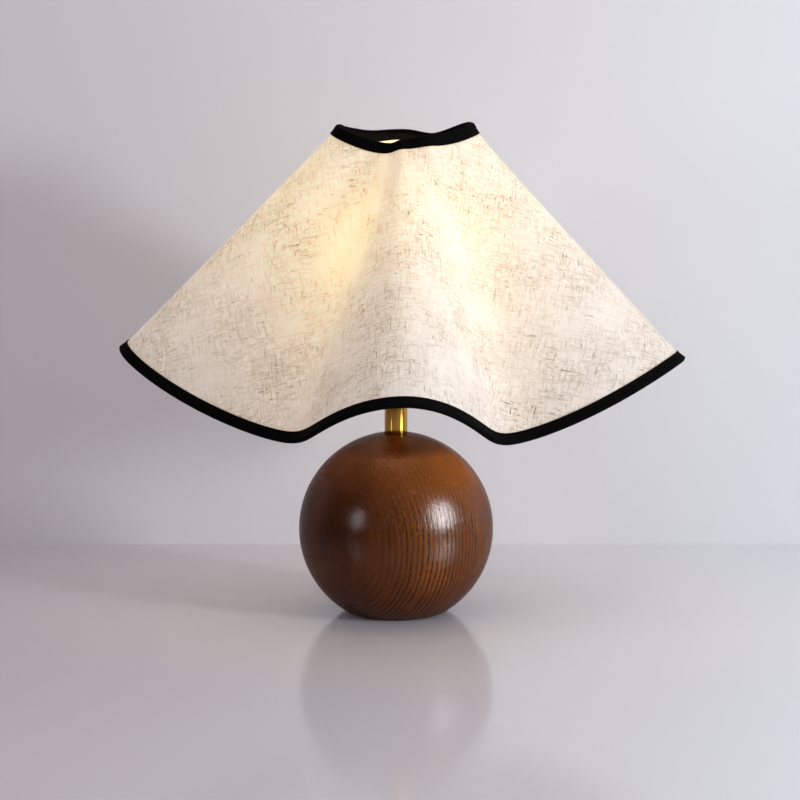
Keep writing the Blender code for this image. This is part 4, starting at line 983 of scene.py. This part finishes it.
def make_cloth(linen, backing):
    start = wire_seat() + WIRE_RADIUS + GAP
    runs = rim_runs(BOTTOM_STATIONS, SHADE_SLANT)
    fan = runs[-1] / SHADE_SLANT
    lit_from = Vector((0, 0, GLOW_CENTRE))
    lap = Lap(CLOTH_SEAM, CLOTH_LAP, CLOTH_THICKNESS + LAP_CLEARANCE)

    def spot_on(share_round, share):
        azimuth = lap.azimuth(share_round, cloth_reach(share))
        ruling = Ruling(azimuth)
        return azimuth, ruling, start + (ruling.length - 2 * start) * share

    def place(share_round, share):
        azimuth, ruling, distance = spot_on(share_round, share)
        return ruling.at(distance, lap.lift(azimuth, cloth_reach(share)))

    def flat(share_round, share):
        """Place in the cloth as it was cut: a fan about the apex, its middle at the front."""
        azimuth = lap.azimuth(share_round, cloth_reach(share))
        turn = run_at(runs, azimuth) / SHADE_SLANT - fan / 2
        return (cloth_reach(share) * math.sin(turn), -cloth_reach(share) * math.cos(turn))

    def light(share_round, share):
        """Painted light on the cloth's inner side, from the bulb and from the brightly lit cloth round it."""
        ruling, distance = spot_on(share_round, share)[1:]
        to_bulb = lit_from - ruling.at(distance)
        facing_it = max(0.0, -ruling.normal(distance).dot(to_bulb.normalized()) + GLOW_WRAP) / (1 + GLOW_WRAP)
        return GLOW_STRENGTH * facing_it * GLOBE_RADIUS / to_bulb.length

    bm = strip_round(CLOTH_ROWS, place, flat, light)
    cloth = piece("linen_shade", bm, [linen, backing], "shade", "linen_cloth", "shade_cloth")
    thickened(cloth, CLOTH_THICKNESS, 1)


def tape_path(width):
    """Middle line of the folded tape's section, (depth from the rim, distance out), from the outer edge round the
    wire to the inner edge."""
    half = TAPE_THICKNESS / 2
    leg = CLOTH_THICKNESS / 2 + GAP + half
    bead = WIRE_RADIUS + 2 * GAP + half
    seat = wire_seat()
    outer = [(width, leg), (width - TAPE_EDGE_BEND, leg), (seat + TAPE_FOOT_BEND, leg + TAPE_FOOT_RISE)]
    outer += [(seat + TAPE_MIDDLE_BEND, (leg + bead) / 2)]
    reach = seat - half
    for turn in map(math.radians, TAPE_BEAD_TURNS):
        outer.append((seat - reach * math.cos(turn), bead * math.sin(turn)))
    return outer + [(depth, -out) for depth, out in reversed(outer)]


def outward_turns(path):
    """Direction square to the path at each of its points, away from the wire."""
    turns = []
    for before, after in zip([path[0]] + path, path[1:] + [path[-1]]):
        along = Vector(after) - Vector(before)
        turns.append(Vector((along.y, -along.x)).normalized() if along.length else Vector((0, 1)))
    return turns


def make_tape(name, node, stations, slant, width, from_top, cotton):
    path = tape_path(width)
    turns = outward_turns(path)
    rows = len(path) - 1
    runs = rim_runs(stations, slant)
    girths = [0.0]
    for here, there in zip(path, path[1:]):
        girths.append(girths[-1] + math.dist(here, there))
    lap = Lap(TOP_TAPE_SEAM if from_top else BOTTOM_TAPE_SEAM, TAPE_LAP, TAPE_THICKNESS + LAP_CLEARANCE)
    cloth_lap = Lap(CLOTH_SEAM, CLOTH_LAP, CLOTH_THICKNESS + LAP_CLEARANCE)

    def over_cloth_lap(azimuth):
        """The outer leg passes over the cloth's double layer, and comes down just after it."""
        turn = azimuth % 360
        past = (turn - CLOTH_SEAM) / lap.degrees(1, slant) - CLOTH_LAP / 2
        return cloth_lap.lift(turn + 360, slant) * min(1, max(0, 1 - (past - LAP_OVERRUN) / LAP_FALL))

    def turned_to(share_round):
        """Azimuth along the tape, and its place in the lap. The top tape runs the other way round."""
        azimuth = lap.azimuth(share_round, slant)
        return (2 * lap.seam - azimuth if from_top else azimuth), azimuth

    def place(share_round, share):
        row = round(share * rows)
        azimuth, along = turned_to(share_round)
        off = turns[row] * lap.lift(along, slant)
        depth, out = path[row][0] + off.x, path[row][1] + off.y
        out += over_cloth_lap(azimuth) * max(0, 1 - row / TAPE_LEG_ROWS)
        ruling = Ruling(azimuth)
        return ruling.at(depth if from_top else ruling.length - depth, out)

    def flat(share_round, share):
        return (run_at(runs, turned_to(share_round)[0]), girths[round(share * rows)])

    bm = strip_round(rows, place, flat)
    bm.verts.ensure_lookup_table()
    tape = piece(name, bm, [cotton], "shade", "black_tape", node)
    thickened(tape, TAPE_THICKNESS)


def make_frame(paint):
    outline = [(FITTER_HOLE, FITTER_BOTTOM), (FITTER_RADIUS, FITTER_BOTTOM)]
    outline += [(radius, FITTER_BOTTOM + FITTER_THICKNESS) for radius in (FITTER_RADIUS, FITTER_HOLE)]
    piece("shade_ring", turned(outline, FINE_STEPS, 0.4 * MM), [paint], "shade", "painted_wire", "fitter_ring")
    for node, azimuth in ARM_AZIMUTHS.items():
        heading = math.radians(azimuth)
        outward = Vector((math.sin(heading), -math.cos(heading), 0))
        foot = outward * (FITTER_RADIUS + GAP) + Vector((0, 0, FITTER_BOTTOM + FITTER_THICKNESS / 2))
        ruling = Ruling(azimuth)
        head = ruling.at(ARM_HEAD_DEPTH, -ARM_HEAD_INSET)
        handles = (foot + outward * ARM_FOOT_REACH, head + ruling.down * ARM_HEAD_REACH)
        path = geometry.interpolate_bezier(foot, *handles, head, 64)
        curve = bpy.data.curves.new(node, "CURVE")
        curve.dimensions, curve.bevel_depth, curve.bevel_resolution, curve.use_fill_caps = "3D", ARM_RADIUS, 4, True
        line = curve.splines.new("POLY")
        line.points.add(len(path) - 1)
        for point, spot in zip(line.points, path):
            point.co = (*spot, 1)
        rod = bpy.data.objects.new("path", curve)
        bpy.context.scene.collection.objects.link(rod)
        bm = bmesh.new()
        bm.from_mesh(rod.to_mesh())
        bpy.data.objects.remove(rod)
        bmesh.ops.remove_doubles(bm, verts=bm.verts, dist=MERGE)
        bmesh.ops.recalc_face_normals(bm, faces=bm.faces)
        piece("bent_" + node, bm, [paint], "shade", "painted_wire", node)


def make_ring_nut(brass):
    inner = NECK_RADIUS + GAP
    waist = (inner + RING_NUT_RADIUS) / 2
    lip_top = RING_NUT_BOTTOM + RING_NUT_LIP
    top = RING_NUT_BOTTOM + RING_NUT_HEIGHT
    outline = [(inner, RING_NUT_BOTTOM), (RING_NUT_RADIUS, RING_NUT_BOTTOM), (RING_NUT_RADIUS, lip_top)]
    outline += [(waist, lip_top), (waist, top), (inner, top)]
    ridges = fluted(RING_NUT_RIDGES, RING_NUT_RIDGE_SHARE, RING_NUT_RADIUS - GAP, -1, 1, 1 * MM)
    bm = turned(outline, 8 * RING_NUT_RIDGES, 0.3 * MM, ridges)
    piece("shade_nut", bm, [brass], "ring", "brass", "ring_nut")


# Studio


def stage_plane(name, finish, pose):
    bm = bmesh.new()
    bmesh.ops.create_grid(bm, x_segments=1, y_segments=1, size=STAGE_HALF_WIDTH, matrix=pose)
    mesh = bpy.data.meshes.new(name)
    bm.to_mesh(mesh)
    bm.free()
    mesh.materials.append(finish)
    made = bpy.data.objects.new(name, mesh)
    bpy.context.scene.collection.objects.link(made)
    return made


def make_studio():
    """Pale glossy table, pale wall close behind it, and softboxes: a strong one at the right, a weak one at the left
    and a wide one overhead. Each of the two at the sides is a lamp that lights matt surfaces and a larger one that
    shows only in glossy ones, so the highlights are wide and the light on matt surfaces stays the same. The plain
    light from all round is dimmed in reflections."""
    table, tree, shader = new_finish("pale_glossy_table")
    across = add(tree, "SeparateXYZ", {"Vector": add(tree, "TexCoord", output="Object")})
    # Painted shade: the table's colour is darker towards the left
    across = add(tree, "MapRange", {"Value": across, "From Min": PAINTED_SHADE_LEFT, "From Max": PAINTED_SHADE_RIGHT})
    painted_shade_tint = add(tree, "ValToRGB", {"Fac": across}, stops=((0.0, "cbc0c6"), (1.0, "dedee4")))
    feed(tree, shader, {"Base Color": painted_shade_tint, "Roughness": 0.13})
    stage_plane("studio_table", table, Matrix())

    # The wall is clear from behind, so that the lamp can be seen from every side
    paint, tree, shader = new_finish("pale_wall")
    across = add(tree, "SeparateXYZ", {"Vector": add(tree, "TexCoord", output="Object")})
    # Painted shade: the wall's colour is darker towards the left
    across = add(tree, "MapRange", {"Value": across, "From Min": PAINTED_SHADE_LEFT, "From Max": PAINTED_SHADE_RIGHT})
    painted_shade_tint = add(tree, "ValToRGB", {"Fac": across}, stops=((0.0, "d9d3d8"), (1.0, "e2e2e6")))
    feed(tree, shader, {"Base Color": painted_shade_tint, "Roughness": 0.9, "Specular IOR Level": 0.0})
    behind = add(tree, "NewGeometry", output="Backfacing")
    sides = {0: behind, 1: shader.outputs["BSDF"], 2: add(tree, "BsdfTransparent")}
    feed(tree, tree.nodes["Material Output"], {"Surface": add(tree, "MixShader", sides)})
    backdrop = stage_plane("studio_wall", paint, facing((0, -1, 0), (0, WALL_BEHIND, STAGE_HALF_WIDTH)))
    backdrop.visible_shadow = False

    for name, place, size, power, colour, matt, glossy in (
        ("right_softbox", (1.32, -0.88, 0.52), (0.27, 0.27), 12.7, "f5faff", True, False),
        ("right_softbox_in_gloss", (1.36, -0.817, 0.575), (0.78, 0.80), 66, "f5faff", False, True),
        ("left_softbox", (-1.15, -1.05, 0.50), (0.22, 0.5), 2.9, "f6f6ff", True, False),
        ("left_softbox_in_gloss", (-1.15, -1.05, 0.52), (0.26, 0.56), 4.6, "f6f6ff", False, True),
        ("top_softbox", (0.1, -0.9, 2.2), (2.4, 2.0), 12, "fffcf8", True, True),
    ):
        light = bpy.data.lights.new(name, "AREA")
        light.shape, light.size, light.size_y, light.energy = "ELLIPSE", *size, power
        light.color = linear(colour)[:3]
        lamp = bpy.data.objects.new(name, light)
        lamp.location = place
        lamp.rotation_euler = (Vector(LAMPS_AIM) - Vector(place)).to_track_quat("-Z", "Y").to_euler()
        lamp.visible_diffuse, lamp.visible_glossy = matt, glossy
        bpy.context.scene.collection.objects.link(lamp)
    world = bpy.data.worlds.new("studio")
    bpy.context.scene.world = world
    world.use_nodes = True
    tree = world.node_tree
    mirrored = add(tree, "LightPath", output="Is Glossy Ray")
    dimmed = add(tree, "MapRange", {"Value": mirrored, "To Min": 0.34, "To Max": 0.03})
    feed(tree, tree.nodes["Background"], {"Color": "ffffff", "Strength": dimmed})


def make_camera():
    lens = bpy.data.cameras.new("camera")
    lens.lens = CAMERA_LENS
    made = bpy.data.objects.new("camera", lens)
    made.location = CAMERA_PLACE
    made.rotation_euler = (CAMERA_TILT, 0, CAMERA_TURN)
    bpy.context.scene.collection.objects.link(made)
    bpy.context.scene.camera = made


def dress_nodes(finishes):
    """Gives each node of the frame the finish of its slot."""
    slots = {row["node"]: row["material_slot"] for row in frame["record"]["subparts"]}
    for name, node in frame["nodes"].items():
        node.data.materials.clear()
        node.data.materials.append(finishes[slots[name]])


bpy.context.scene.view_settings.view_transform = "Standard"
make_camera()
make_studio()
wood, cotton, linen, felt, paint = stained_ash(), cotton_tape(), slub_linen(), pressed_felt(), powder_coat()
tube_brass = worked_metal("lathe_polished_brass", "ac7e33", "c09242", 0.10, (0.004, 0.004, 4.0), 0.85)
turned_brass = worked_metal("polished_turned_brass", "b0813a", "c49549", 0.14, (0.012, 0.012, 2.4))
steel = worked_metal("bright_zinc_plate", "9a9da2", "b9bcc0", 0.32, (0.6, 0.6, 0.6))
aluminium = worked_metal("rolled_aluminium", "b4b7ba", "cdd0d2", 0.28, (0.06, 0.06, 1.5))
black = moulded_plastic("black_phenolic", "0b0b0b", "171716", 0.42)
white = moulded_plastic("white_polycarbonate", "dcdcd8", "e8e8e4", 0.35)
ceramic = moulded_plastic("unglazed_white_steatite", "dedbd2", "ece9e2", 0.62)
opal = opal_cover()
dress_nodes(
    {
        "stained_wood": wood,
        "felt": felt,
        "zinc_steel": steel,
        "brass": turned_brass,
        "black_plastic": black,
        "ceramic": ceramic,
        "aluminium": aluminium,
        "white_plastic": white,
        "opal_plastic": opal,
        "painted_wire": paint,
        "linen_cloth": linen,
        "black_tape": cotton,
    }
)
make_ball(wood)
make_grommet(black)
make_stem(tube_brass, black, felt)
make_holder(turned_brass, ceramic, steel)
make_switch(turned_brass, black)
make_bulb(aluminium, white, opal)
make_ring_nut(turned_brass)
make_frame(paint)
make_cloth(linen, backing_film())
make_tape("top_rim_tape", "top_tape", TOP_STATIONS, SHADE_TOP_SLANT, TOP_TAPE_WIDTH, True, cotton)
make_tape("bottom_rim_tape", "bottom_tape", BOTTOM_STATIONS, SHADE_SLANT, TAPE_WIDTH, False, cotton)
